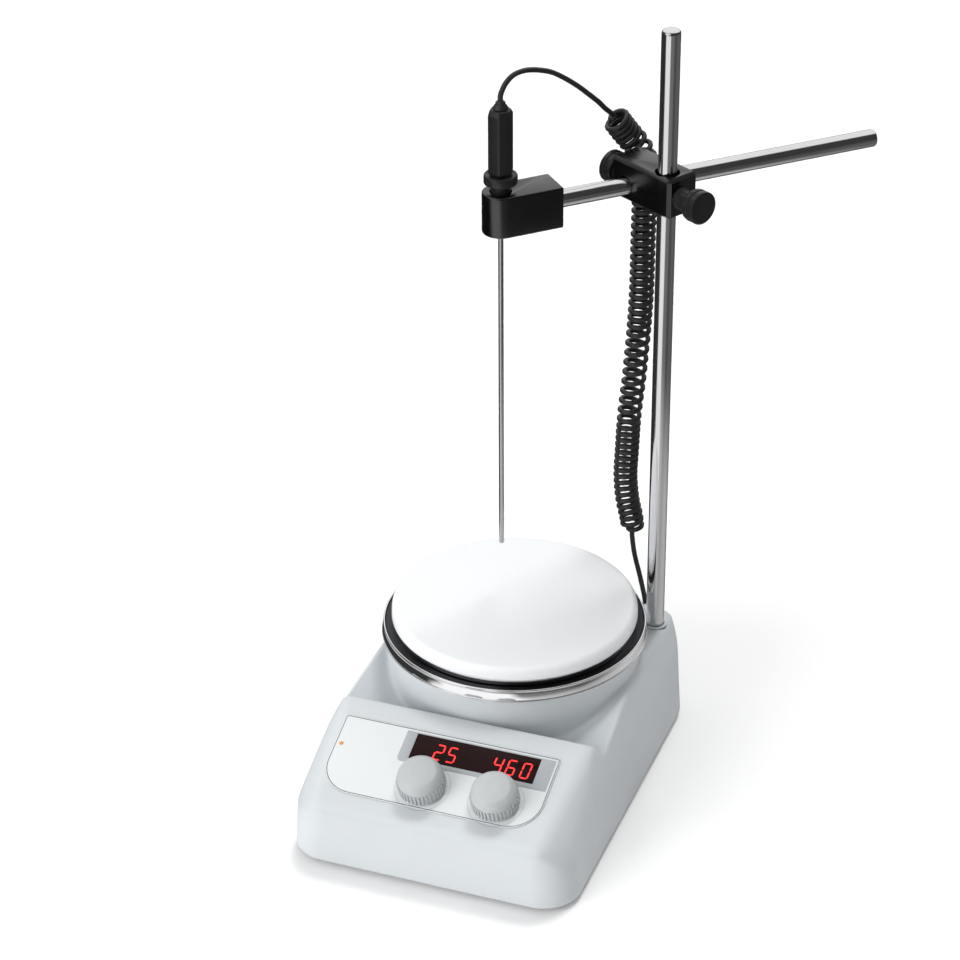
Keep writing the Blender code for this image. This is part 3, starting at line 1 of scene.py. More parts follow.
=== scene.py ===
"""Render scene of a heated magnetic stirrer with a support rod and a temperature probe.

Heights in the classes are above the bench. Every finished piece is lowered by the plate's
height, because the frame's origin is the centre of the plate's top face. X runs to the
right, Y to the rear and Z up, in metres.
"""
import logging
import math
from dataclasses import dataclass, field
from enum import Enum
from typing import Iterable, Sequence

import bmesh
import bpy
import numpy as np
from mathutils import Matrix, Vector


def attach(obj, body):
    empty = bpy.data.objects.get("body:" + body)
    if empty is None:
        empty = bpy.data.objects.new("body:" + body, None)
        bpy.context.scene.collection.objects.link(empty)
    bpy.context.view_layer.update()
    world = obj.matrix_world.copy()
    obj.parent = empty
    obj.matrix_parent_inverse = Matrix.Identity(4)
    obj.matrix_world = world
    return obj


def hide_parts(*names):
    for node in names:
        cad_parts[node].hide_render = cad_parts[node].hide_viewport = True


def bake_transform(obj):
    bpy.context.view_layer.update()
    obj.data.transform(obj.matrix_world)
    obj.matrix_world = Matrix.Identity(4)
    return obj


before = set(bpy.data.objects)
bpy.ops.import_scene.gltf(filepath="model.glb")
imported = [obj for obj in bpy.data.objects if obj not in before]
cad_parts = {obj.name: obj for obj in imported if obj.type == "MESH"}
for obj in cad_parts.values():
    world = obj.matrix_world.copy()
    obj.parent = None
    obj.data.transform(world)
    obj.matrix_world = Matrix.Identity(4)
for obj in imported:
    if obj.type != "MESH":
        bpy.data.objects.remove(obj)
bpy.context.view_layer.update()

logging.basicConfig(level=logging.INFO, format="%(name)s: %(message)s")
LOG = logging.getLogger("stirrer")

PLATE_TOP = 0.095
RIDGE = (-0.076, 0.064)
PANEL_SLOPE = math.radians(21)
ROD_PLACE = (0.0645, 0.053)
ARM_HEIGHT = 0.325
ARM_HEADING = 44.0
HOLDER_TOP = 0.3358
SOCKET_PLACE = (0.047, 0, 0.031)
ALONG_X = Matrix.Rotation(math.pi / 2, 4, "Y")
TINY = 1e-6
Point = tuple[float, float, float]
Flat = tuple[float, float]
Box = tuple[float, float, float, float]
Piece = bpy.types.Object
Socket = bpy.types.NodeSocket
Tree = bpy.types.NodeTree


def only(piece: Piece) -> Piece:
    """Select one object alone and make it the active one."""
    for other in list(bpy.context.selected_objects):
        other.select_set(False)
    piece.select_set(True)
    bpy.context.view_layer.objects.active = piece
    return piece


def clear_selection() -> None:
    """Deselect every object, the loaded frame's own too."""
    if bpy.context.object and bpy.context.object.mode != "OBJECT":
        bpy.ops.object.mode_set(mode="OBJECT")
    for other in list(bpy.context.selected_objects):
        other.select_set(False)


def named(name: str) -> Piece:
    """Name the object that an operator has just added, and settle its place in its mesh."""
    piece = bpy.context.object
    piece.name = name
    piece.data.name = name
    only(piece)
    bpy.ops.object.transform_apply(location=True, rotation=True, scale=True)
    return piece


def modify(piece: Piece, kind: str, **settings: object) -> Piece:
    """Add a modifier with its settings and apply it."""
    only(piece)
    modifier = piece.modifiers.new(kind.title(), kind)
    for key, value in settings.items():
        setattr(modifier, key, value)
    bpy.ops.object.modifier_apply(modifier=modifier.name)
    return piece


def soften(piece: Piece, width: float, segments: int = 3, angle: float = 30) -> Piece:
    """Round a piece's sharp edges by a width, where its faces meet at more than an angle."""
    return modify(piece, "BEVEL", width=width, segments=segments, limit_method="ANGLE",
                  angle_limit=math.radians(angle), miter_outer="MITER_ARC")


def cut(piece: Piece, cutter: Piece, operation: str = "DIFFERENCE") -> Piece:
    """Cut a piece with another one, or join the two, and remove the cutter."""
    modify(piece, "BOOLEAN", object=cutter, operation=operation, solver="EXACT")
    bpy.data.objects.remove(cutter, do_unlink=True)
    return piece


def place(piece: Piece, matrix: Matrix) -> Piece:
    """Move a piece's mesh by a matrix and leave its object at the origin."""
    only(piece)
    piece.matrix_world = matrix @ piece.matrix_world
    bpy.ops.object.transform_apply(location=True, rotation=True, scale=True)
    return piece


def tidy_normals(piece: Piece, merge: float = TINY) -> Piece:
    """Merge doubled points and point every face outwards."""
    only(piece)
    bpy.ops.object.mode_set(mode="EDIT")
    bpy.ops.mesh.select_all(action="SELECT")
    bpy.ops.mesh.remove_doubles(threshold=merge)
    bpy.ops.mesh.normals_make_consistent(inside=False)
    bpy.ops.object.mode_set(mode="OBJECT")
    return piece


def turned(name: str, profile: Sequence[Flat], steps: int = 96) -> Piece:
    """Spin a profile of radius and height about Z, as on a lathe.

    Args:
        name: The new object's name.
        profile: Points of radius and height, from one end to the other.
        steps: How many steps the full turn has.

    Returns:
        The turned piece, closed where its profile starts and ends on the axis or at one point.
    """
    clear_selection()
    bpy.ops.mesh.primitive_plane_add(size=0.001, location=(profile[0][0], 0, profile[0][1]))
    bpy.ops.object.mode_set(mode="EDIT")
    bpy.ops.mesh.select_all(action="SELECT")
    bpy.ops.mesh.merge(type="CENTER")
    here = profile[0]
    for point in profile[1:]:
        step = (point[0] - here[0], 0, point[1] - here[1])
        bpy.ops.mesh.extrude_vertices_move(TRANSFORM_OT_translate={"value": step})
        here = point
    bpy.ops.mesh.select_all(action="SELECT")
    bpy.ops.mesh.spin(steps=steps, angle=2 * math.pi, center=(0, 0, 0), axis=(0, 0, 1))
    bpy.ops.object.mode_set(mode="OBJECT")
    return tidy_normals(named(name))


def rounded_profile(corners: Sequence[tuple[float, float, float]], parts: int = 5) -> list[Flat]:
    """Round the corners of a turned profile.

    Args:
        corners: Each corner's radius from the axis, its height and its rounding.
        parts: How many steps each rounding has.

    Returns:
        The profile's points, with each rounding as an arc between the two sides.
    """
    points: list[Flat] = []
    for index, (radius, height, rounding) in enumerate(corners):
        here = Vector((radius, height))
        if rounding <= 0 or index in (0, len(corners) - 1):
            points.append((radius, height))
            continue
        before = (Vector(corners[index - 1][:2]) - here).normalized()
        after = (Vector(corners[index + 1][:2]) - here).normalized()
        half = before.angle(after) / 2
        reach = rounding / math.tan(half)
        centre = here + (before + after).normalized() * rounding / math.sin(half)
        start, end = here + before * reach - centre, here + after * reach - centre
        for part in range(parts + 1):
            share = part / parts
            spoke = (start * math.sin((1 - share) * start.angle(end)) + end
                     * math.sin(share * start.angle(end)))
            spoke = centre + spoke / math.sin(start.angle(end))
            points.append((spoke.x, spoke.y))
    return points


def slab(name: str, outline: Sequence[Flat], bottom: float, top: float) -> Piece:
    """Extrude a plan outline between two heights."""
    clear_selection()
    bpy.ops.mesh.primitive_circle_add(vertices=len(outline), radius=1, fill_type="NGON")
    piece = named(name)
    for vert, (x, y) in zip(piece.data.vertices, outline):
        vert.co = (x, y, bottom)
    bpy.ops.object.mode_set(mode="EDIT")
    bpy.ops.mesh.select_all(action="SELECT")
    bpy.ops.mesh.extrude_region_move(TRANSFORM_OT_translate={"value": (0, 0, top - bottom)})
    bpy.ops.object.mode_set(mode="OBJECT")
    return tidy_normals(piece)


def block(name: str, low: Point, high: Point) -> Piece:
    """Make a box between two corners, ready to be bevelled and cut."""
    outline = [(low[0], low[1]), (high[0], low[1]), (high[0], high[1]), (low[0], high[1])]
    return slab(name, outline, low[2], high[2])


def drum(name: str, radius: float, bottom: float, top: float, steps: int = 64) -> Piece:
    """Make an upright round cutter or core."""
    return turned(name, [(0, bottom), (radius, bottom), (radius, top), (0, top)], steps)


def circle(radius: float, steps: int, centre: Flat = (0, 0)) -> list[Flat]:
    """Give the points of a circle in plan."""
    turns = [2 * math.pi * step / steps for step in range(steps)]
    return [(centre[0] + radius * math.cos(turn), centre[1] + radius * math.sin(turn)) for turn in turns]


def rounded_box(left: float, right: float, low: float, high: float, radii: Sequence[float],
                steps: int = 10) -> list[Flat]:
    """Give a rectangle's outline with its own rounding at each corner.

    Args:
        left: The lowest X.
        right: The highest X.
        low: The lowest Y.
        high: The highest Y.
        radii: The roundings of the low right, high right, high left and low left corners.
        steps: How many steps each rounding has.

    Returns:
        The outline's points, counter-clockwise.
    """
    centres = [(right - radii[0], low + radii[0]), (right - radii[1], high - radii[1]),
               (left + radii[2], high - radii[2]), (left + radii[3], low + radii[3])]
    points = []
    for corner, (centre, radius) in enumerate(zip(centres, radii)):
        for step in range(steps + 1):
            turn = math.pi / 2 * (corner - 1 + step / steps)
            points.append((centre[0] + radius * math.cos(turn), centre[1] + radius * math.sin(turn)))
    return points


def ribbon(name: str, outer: Sequence[Flat], inner: Sequence[Flat], bottom: float, top: float) -> Piece:
    """Make a flat closed band between two outlines of as many points."""
    count = len(outer)
    points = [(x, y, z) for z in (bottom, top) for line in (outer, inner) for x, y in line]
    faces = []
    for index in range(count):
        following = (index + 1) % count
        low_out, low_in, high_out, high_in = (index + count * ring for ring in range(4))
        low_out2, low_in2, high_out2, high_in2 = (following + count * ring for ring in range(4))
        faces += [(low_out, low_in, low_in2, low_out2), (high_out, high_out2, high_in2, high_in),
                  (low_out, low_out2, high_out2, high_out), (low_in, high_in, high_in2, low_in2)]
    return tidy_normals(from_points(name, points, faces))


def from_points(name: str, points: Iterable[Sequence[float]], faces: Iterable[Sequence[int]]) -> Piece:
    """Make an object from computed points and faces."""
    mesh = bpy.data.meshes.new(name)
    mesh.from_pydata([tuple(point) for point in points], [], [tuple(face) for face in faces])
    piece = bpy.data.objects.new(name, mesh)
    bpy.context.collection.objects.link(piece)
    return only(piece)


def hand_over(piece: Piece, finish: bpy.types.Material, body: str, nodes: Sequence[str] = (),
              smooth: float = 35) -> Piece:
    """Lower a finished piece into the frame, dress it and fix it to its body.

    Args:
        piece: The finished mesh, in heights above the bench.
        finish: The material it gets.
        body: The moving body that carries it.
        nodes: The frame's own nodes that it stands for.
        smooth: Faces that meet at less than this angle shade as one surface.

    Returns:
        The same object.
    """
    place(piece, Matrix.Translation((0, 0, -PLATE_TOP)))
    if not piece.data.materials:
        piece.data.materials.append(finish)
    bpy.ops.object.shade_smooth_by_angle(angle=math.radians(smooth))
    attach(piece, body)
    if nodes:
        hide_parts(*nodes)
    LOG.info("%s rides on %s, %d faces", piece.name, body, len(piece.data.polygons))
    return piece


def refined_copy(node: str, name: str, edge: float) -> Piece:
    """Copy a frame node's mesh, clear its loose triangles and round its edges a little."""
    clear_selection()
    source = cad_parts[node]
    piece = bpy.data.objects.new(name, source.data.copy())
    piece.matrix_world = source.matrix_world.copy()
    piece.data.materials.clear()
    bpy.context.collection.objects.link(piece)
    only(piece)
    bpy.ops.object.transform_apply(location=True, rotation=True, scale=True)
    bpy.ops.object.mode_set(mode="EDIT")
    bpy.ops.mesh.select_all(action="SELECT")
    bpy.ops.mesh.remove_doubles(threshold=1e-5)
    bpy.ops.mesh.dissolve_limited(angle_limit=math.radians(2))
    bpy.ops.object.mode_set(mode="OBJECT")
    soften(piece, edge, 2, 25)
    return place(piece, Matrix.Translation((0, 0, PLATE_TOP)))


def join_all(pieces: Sequence[Piece]) -> Piece:
    """Join several pieces into the first one."""
    clear_selection()
    for piece in pieces:
        piece.select_set(True)
    bpy.context.view_layer.objects.active = pieces[0]
    bpy.ops.object.join()
    return pieces[0]


def feed(tree: Tree, socket: Socket, value: object) -> None:
    """Link a socket to another one, or set its plain value."""
    if isinstance(value, Socket):
        tree.links.new(value, socket)
    else:
        socket.default_value = value


def add_node(tree: Tree, kind: str, inputs: dict[str | int, object], **settings: object) -> bpy.types.Node:
    """Add a shader node with its settings, its inputs fed by sockets or plain values."""
    node = tree.nodes.new("ShaderNode" + kind)
    for key, value in settings.items():
        setattr(node, key, value)
    for key, value in inputs.items():
        feed(tree, node.inputs[key], value)
    return node


def maths(tree: Tree, operation: str, first: object, second: object = 0.0, clamp: bool = False) -> Socket:
    """Add a Math node fed by sockets or plain numbers, and give its output."""
    return add_node(tree, "Math", {0: first, 1: second}, operation=operation, use_clamp=clamp).outputs[0]


def mix(tree: Tree, share: Socket, first: object, second: object) -> Socket:
    """Mix two colours, given as sockets or as plain colours, by a share, and give the output."""
    return add_node(tree, "Mix", {"Factor": share, 6: first, 7: second}, data_type="RGBA").outputs[2]


class Relief(Enum):
    """How a finish's fine surface runs."""

    MOULDED = "moulded"
    DRAWN = "drawn"


@dataclass(frozen=True)
class Finish:
    """One finish: its colour, gloss and fine surface, in real sizes."""

    name: str
    colour: Point
    roughness: float
    metallic: float = 0.0
    coat: float = 0.0
    specular: float = 0.5
    relief: Relief = Relief.MOULDED
    grain: float = 1400.0
    depth: float = 0.00002
    mottle: float = 0.04
    spread: float = 0.06
    dust: float = 0.0
    along: Point = (1.0, 1.0, 1.0)
    heading: float = 0.0
    glow: float = 0.0


DUST_COLOUR = (0.45, 0.44, 0.42, 1)
MOULDED_MOTTLE = 22
MIRROR_ROUGHNESS = 0.02


class FinishShop:
    """Builds each finish once, from shared node groups for relief and dust."""

    def __init__(self) -> None:
        """Build the shared node groups."""
        self.made: dict[str, bpy.types.Material] = {}
        self.relief = self._relief_group()
        self.dust = self._dust_group()

    @staticmethod
    def _group(name: str, inputs: dict[str, float | None], outputs: Sequence[str]) -> Tree:
        """Start a shader node group. An input without a value is a vector, and all else is a float."""
        group = bpy.data.node_groups.new(name, "ShaderNodeTree")
        for key, value in inputs.items():
            kind = "NodeSocketVector" if value is None else "NodeSocketFloat"
            socket = group.interface.new_socket(name=key, in_out="INPUT", socket_type=kind)
            if value is not None:
                socket.default_value = value
        for key in outputs:
            group.interface.new_socket(name=key, in_out="OUTPUT", socket_type="NodeSocketFloat")
        return group

    def _relief_group(self) -> Tree:
        """Build the fine relief: a height, a shade that wanders slowly and a gloss that smudges."""
        group = self._group("fine_relief", {"Vector": None, "Grain": 1400.0, "Mottle Size": 22.0},
                            ("Height", "Shade", "Smudge"))
        source = group.nodes.new("NodeGroupInput")
        sink = group.nodes.new("NodeGroupOutput")
        along, mottle = source.outputs["Vector"], source.outputs["Mottle Size"]
        marks_size = maths(group, "MULTIPLY", mottle, 3.7)
        fine = add_node(group, "TexNoise",
                        {"Vector": along, "Scale": source.outputs["Grain"], "Detail": 4, "Roughness": 0.6})
        broad = add_node(group, "TexNoise", {"Vector": along, "Scale": mottle, "Detail": 5})
        marks = add_node(group, "TexNoise", {"Vector": along, "Scale": marks_size, "Detail": 8,
                                             "Distortion": 0.6})
        feed(group, sink.inputs["Height"], fine.outputs["Fac"])
        feed(group, sink.inputs["Shade"], broad.outputs["Fac"])
        lifted = maths(group, "SUBTRACT", marks.outputs["Fac"], 0.42)
        feed(group, sink.inputs["Smudge"], maths(group, "MULTIPLY", lifted, 3.0, clamp=True))
        return group

    def _dust_group(self) -> Tree:
        """Build the dust mask: upward faces, broken up by noise."""
        group = self._group("settled_dust", {"Vector": None, "Amount": 0.1}, ("Mask",))
        source = group.nodes.new("NodeGroupInput")
        sink = group.nodes.new("NodeGroupOutput")
        surface = add_node(group, "NewGeometry", {})
        split = add_node(group, "SeparateXYZ", {"Vector": surface.outputs["Normal"]})
        noise = add_node(group, "TexNoise", {"Vector": source.outputs["Vector"], "Scale": 260, "Detail": 6})
        upward = maths(group, "MULTIPLY", split.outputs["Z"], 1.0, clamp=True)
        speckled = maths(group, "MULTIPLY", upward, noise.outputs["Fac"])
        feed(group, sink.inputs["Mask"], maths(group, "MULTIPLY", speckled, source.outputs["Amount"],
                                               clamp=True))
        return group

    def make(self, finish: Finish) -> bpy.types.Material:
        """Give a finish's material, built the first time that it is asked for."""
        if finish.name in self.made:
            return self.made[finish.name]
        material = bpy.data.materials.new(finish.name)
        material.use_nodes = True
        tree = material.node_tree
        shader = tree.nodes["Principled BSDF"]
        places = add_node(tree, "TexCoord", {}).outputs["Object"]
        mapping = add_node(tree, "Mapping", {"Vector": places,
                                             "Rotation": (0, 0, -math.radians(finish.heading)),
                                             "Scale": finish.along})
        mottle_size = MOULDED_MOTTLE if finish.relief is Relief.MOULDED else finish.grain / 4
        relief = add_node(tree, "Group", {}, node_tree=self.relief)
        for key, value in (("Vector", mapping.outputs["Vector"]), ("Grain", finish.grain),
                           ("Mottle Size", mottle_size)):
            feed(tree, relief.inputs[key], value)
        dust = add_node(tree, "Group", {}, node_tree=self.dust)
        feed(tree, dust.inputs["Vector"], places)
        feed(tree, dust.inputs["Amount"], finish.dust)
        shades = [(*(min(1, channel * share) for channel in finish.colour), 1)
                  for share in (1 - finish.mottle, 1 + finish.mottle)]
        colour = mix(tree, relief.outputs["Shade"], *shades)
        gloss = add_node(tree, "MapRange", {"Value": relief.outputs["Smudge"],
                                            "To Min": max(MIRROR_ROUGHNESS,
                                                          finish.roughness - finish.spread / 2),
                                            "To Max": min(1, finish.roughness + finish.spread)})
        bump = add_node(tree, "Bump", {"Height": relief.outputs["Height"], "Strength": 0.6,
                                       "Distance": finish.depth})
        values = {"Metallic": finish.metallic, "Specular IOR Level": finish.specular,
                  "Coat Weight": finish.coat,
                  "Coat Roughness": 0.08, "Base Color": mix(tree, dust.outputs["Mask"], colour, DUST_COLOUR),
                  "Roughness": gloss.outputs["Result"], "Normal": bump.outputs["Normal"]}
        if finish.glow > 0:
            values |= {"Emission Color": colour, "Emission Strength": finish.glow}
        for key, value in values.items():
            feed(tree, shader.inputs[key], value)
        self.made[finish.name] = material
        return material


HOUSING_PLASTIC = Finish("housing_plastic_fine", (0.60, 0.63, 0.65), 0.46, mottle=0.03, dust=0.03)
PLATE_CERAMIC = Finish("plate_ceramic_white", (0.86, 0.88, 0.895), 0.34, coat=0.15, mottle=0.008, grain=900,
                       depth=0.000003, spread=0.03)
OVERLAY_FILM = Finish("overlay_film_white", (0.71, 0.73, 0.74), 0.42, mottle=0.015, grain=2200, depth=0.00001)
FRAME_FILM = Finish("display_frame_grey", (0.40, 0.42, 0.44), 0.40, mottle=0.03, grain=2200, depth=0.00001)
PRINT_INK = Finish("printed_line_grey", (0.09, 0.095, 0.10), 0.5, mottle=0.1)
WINDOW_GLASS = Finish("display_window_dark", (0.014, 0.003, 0.003), 0.16, specular=0.12, mottle=0.3,
                      grain=300, depth=0.000002)
DIGIT_LIGHT = Finish("digit_light_red", (1.0, 0.03, 0.03), 0.4, mottle=0.12, grain=900, glow=1.1)
KNOB_PLASTIC = Finish("knob_plastic_grey", (0.47, 0.49, 0.50), 0.42, mottle=0.03)
CHROME = Finish("ring_chrome", (0.93, 0.93, 0.94), 0.07, 1, relief=Relief.DRAWN, grain=60, along=(1, 1, 14),
                depth=0.000002, mottle=0.02, spread=0.05)
# Near-black steel for the groove's floor: painted shade in the gap between the plate and the trim ring.
GROOVE_SHADE_STEEL = Finish("groove_painted_shade", (0.05, 0.05, 0.055), 0.35, 1, mottle=0.1, depth=0.000005)
ROD_STEEL = Finish("rod_steel_polished", (0.72, 0.72, 0.73), 0.12, 1, relief=Relief.DRAWN, grain=900,
                   along=(1, 1, 0.02), depth=0.000003, mottle=0.05, spread=0.08)
ARM_STEEL = Finish("arm_steel_polished", (0.72, 0.72, 0.73), 0.12, 1, relief=Relief.DRAWN, grain=900,
                   along=(0.02, 1, 1), heading=ARM_HEADING, depth=0.000003, mottle=0.05, spread=0.08)
SHEATH_STEEL = Finish("sheath_steel", (0.50, 0.50, 0.51), 0.22, 1, relief=Relief.DRAWN, grain=2400,
                      along=(1, 1, 0.03), depth=0.000002, mottle=0.06, spread=0.1)
BLACK_ANODISED = Finish("black_anodised_satin", (0.085, 0.085, 0.088), 0.28, 1, mottle=0.05, grain=2600,
                        depth=0.000003, spread=0.04, dust=0.01)
BLACK_PLASTIC = Finish("black_plastic_satin", (0.013, 0.013, 0.014), 0.30, specular=0.35, mottle=0.06,
                       grain=1800, depth=0.000003, spread=0.05, dust=0.01)
LEAD_RUBBER = Finish("lead_rubber_black", (0.017, 0.017, 0.018), 0.44, mottle=0.15, grain=2400, depth=0.00001,
                     spread=0.1, dust=0.03)
FOOT_RUBBER = Finish("foot_rubber_black", (0.020, 0.020, 0.020), 0.72, mottle=0.15, grain=1200, depth=0.00004,
                     dust=0.06)
COVER_STEEL = Finish("cover_steel_painted", (0.12, 0.12, 0.13), 0.5, 0.6, mottle=0.08, grain=800,
                     depth=0.00002, dust=0.05)
BRIGHT_STEEL = Finish("inner_steel", (0.55, 0.55, 0.56), 0.3, 1, mottle=0.06, grain=900, depth=0.00001)
DARK_STEEL = Finish("inner_steel_dark", (0.18, 0.18, 0.19), 0.42, 1, mottle=0.08, grain=900, depth=0.00001)
COPPER = Finish("heater_copper", (0.66, 0.34, 0.20), 0.38, 1, mottle=0.1, grain=600, depth=0.00001)
BOARD_GREEN = Finish("board_green", (0.02, 0.15, 0.07), 0.5, mottle=0.15, grain=500, depth=0.00002)
MINERAL_WOOL = Finish("insulation_wool", (0.66, 0.62, 0.54), 0.95, mottle=0.2, grain=420, depth=0.0003)
AMBER_LENS = Finish("indicator_amber", (0.70, 0.28, 0.05), 0.2, coat=0.5, mottle=0.05, grain=900,
                    depth=0.000005)


@dataclass(frozen=True)
class Lobe:
    """A soft patch of light in the room: where it is, how wide it is and how bright."""

    towards: Point
    starts: float
    full: float
    strength: float


@dataclass
class Studio:
    """The floor, the soft light, the room that the metal mirrors, and the camera."""

    focal_length: float = 112.5
    camera_place: Point = (0.46667, -1.30112, 0.89077)
    camera_right: Point = (0.93789, 0.34688, -0.00602)
    camera_up: Point = (-0.17120, 0.47783, 0.86161)
    camera_back: Point = (0.30175, -0.80706, 0.50754)
    room_light: Lobe = Lobe((-0.55, -0.25, 0.80), -0.9, 1.0, 0.66)
    mirror_dark: float = 0.05
    mirror_lobes: tuple[Lobe, ...] = (Lobe((-0.20, 0.60, 0.77), 0.58, 0.72, 0.95),
                                      Lobe((-0.42, -0.74, 0.52), 0.80, 0.92, 0.9))
    lamps: tuple[tuple[str, Point, float, float], ...] = (("key_light", (-0.52, -0.80, 0.30), 2.0, 45),
                                                          ("top_light", (0.06, 0.36, 0.93), 1.5, 18))
    floor_colour: float = 0.95
    floor_lift: float = 0.06
    mirror_centre: Flat = (0.03, 0.02)
    mirror_near: Flat = (0.24, 0.46)
    mirror_far_ring: tuple[Flat, ...] = ((0.0, 0.035), (0.125, 0.035), (0.15, 1.0), (0.283, 1.0),
                                         (0.305, 0.20), (0.40, 0.18),
                                         (0.43, 0.09), (0.48, 0.09), (0.53, 0.14), (0.66, 0.12), (0.72, 0.04),
                                         (1.0, 0.035))
    mirror_near_ring: tuple[Flat, ...] = ((0.0, 0.035), (0.115, 0.035), (0.13, 1.0), (0.30, 1.0),
                                          (0.32, 0.62), (0.37, 0.55),
                                          (0.44, 0.40), (0.55, 0.55), (0.64, 0.45), (0.69, 0.08),
                                          (0.75, 0.04), (1.0, 0.035))

    def build(self) -> None:
        """Set the camera first, then the floor, the world and the lamps."""
        self._camera()
        self._floor()
        self._world()
        self._lamps()
        bpy.context.scene.view_settings.view_transform = "Standard"

    def _camera(self) -> None:
        """Set the camera at the photograph's place and angle."""
        clear_selection()
        bpy.ops.object.camera_add(location=self.camera_place)
        camera = bpy.context.object
        camera.name = "photo_camera"
        turn = Matrix((self.camera_right, self.camera_up, self.camera_back)).transposed()
        camera.rotation_euler = turn.to_euler()
        camera.data.lens = self.focal_length
        camera.data.sensor_width = 36
        camera.data.dof.use_dof = False
        bpy.context.scene.camera = camera

    @staticmethod
    def _ramp(tree: Tree, share: Socket, stops: Sequence[Flat]) -> Socket:
        """Turn a share into a brightness through a ramp of stops."""
        node = add_node(tree, "ValToRGB", {"Fac": share})
        elements = node.color_ramp.elements
        while len(elements) < len(stops):
            elements.new(0.5)
        for element, (position, value) in zip(elements, stops):
            element.position = position
            element.color = (value, value, value, 1)
        return node.outputs["Color"]

    def _floor(self) -> None:
        """Lay the pale floor: white to the camera but for the shadow, and streaked in the metal."""
        clear_selection()
        bpy.ops.mesh.primitive_plane_add(size=9, location=(0, 0, -PLATE_TOP))
        floor = named("studio_floor")
        material = bpy.data.materials.new("studio_floor_white")
        material.use_nodes = True
        tree = material.node_tree
        shader = tree.nodes["Principled BSDF"]
        rays = add_node(tree, "LightPath", {})
        lift = maths(tree, "MULTIPLY", rays.outputs["Is Camera Ray"], self.floor_lift)
        for key, value in (("Base Color", (*[self.floor_colour] * 3, 1)), ("Roughness", 1),
                           ("Specular IOR Level", 0),
                           ("Emission Color", (1, 1, 1, 1)), ("Emission Strength", lift)):
            feed(tree, shader.inputs[key], value)
        places = add_node(tree, "TexCoord", {}).outputs["Object"]
        centre = (*self.mirror_centre, -PLATE_TOP)
        centred = add_node(tree, "VectorMath", {0: places, 1: centre}, operation="SUBTRACT").outputs["Vector"]
        round_about = add_node(tree, "TexGradient", {"Vector": centred},
                               gradient_type="RADIAL").outputs["Fac"]
        distance = add_node(tree, "VectorMath", {0: centred}, operation="LENGTH").outputs["Value"]
        near_end, far_start = self.mirror_near
        beyond = add_node(tree, "MapRange", {"Value": distance, "From Min": near_end, "From Max": far_start},
                          interpolation_type="SMOOTHSTEP").outputs["Result"]
        near, far = (self._ramp(tree, round_about, ring)
                     for ring in (self.mirror_near_ring, self.mirror_far_ring))
        mirrored = add_node(tree, "Emission", {"Color": mix(tree, beyond, near, far)}).outputs["Emission"]
        choice = add_node(tree, "MixShader", {"Fac": rays.outputs["Is Glossy Ray"], 1: shader.outputs["BSDF"],
                                              2: mirrored})
        feed(tree, tree.nodes["Material Output"].inputs["Surface"], choice.outputs["Shader"])
        floor.data.materials.append(material)

    @staticmethod
    def _patch(tree: Tree, direction: Socket, lobe: Lobe, kind: str) -> Socket:
        """Give a lobe's strength in a direction of the room."""
        towards = Vector(lobe.towards).normalized()
        facing = add_node(tree, "VectorMath", {0: direction, 1: towards},
                          operation="DOT_PRODUCT").outputs["Value"]
        return add_node(tree, "MapRange", {"Value": facing, "From Min": lobe.starts, "From Max": lobe.full,
                                           "To Max": lobe.strength},
                        interpolation_type=kind).outputs["Result"]

    def _world(self) -> None:
        """Light the room softly from the left and above, white to the camera and patched in the metal."""
        world = bpy.data.worlds.new("studio_room")
        bpy.context.scene.world = world
        world.use_nodes = True
        tree = world.node_tree
        background = tree.nodes["Background"]
        feed(tree, background.inputs["Color"], (1, 1, 1, 1))
        direction = add_node(tree, "TexCoord", {}).outputs["Generated"]
        rays = add_node(tree, "LightPath", {})
        seen = maths(tree, "MAXIMUM", rays.outputs["Is Camera Ray"], rays.outputs["Is Transmission Ray"])
        mirrored: object = self.mirror_dark
        for lobe in self.mirror_lobes:
            mirrored = maths(tree, "ADD", self._patch(tree, direction, lobe, "SMOOTHSTEP"), mirrored)
        mirrored = maths(tree, "MULTIPLY", mirrored, rays.outputs["Is Glossy Ray"])
        lit = self._patch(tree, direction, self.room_light, "LINEAR")
        lit = maths(tree, "MULTIPLY", lit, maths(tree, "SUBTRACT", 1.0, rays.outputs["Is Glossy Ray"]))
        feed(tree, background.inputs["Strength"], maths(tree, "MAXIMUM", seen,
                                                        maths(tree, "ADD", lit, mirrored)))

    def _lamps(self) -> None:
        """Add the broad lamps: the key from the front left and the one above."""
        for name, towards, energy, angle in self.lamps:
            clear_selection()
            bpy.ops.object.light_add(type="SUN")
            lamp = bpy.context.object
            lamp.name = name
            lamp.data.energy = energy
            lamp.data.angle = math.radians(angle)
            lamp.rotation_euler = Vector(towards).to_track_quat("Z", "Y").to_euler()
            lamp.visible_glossy = False


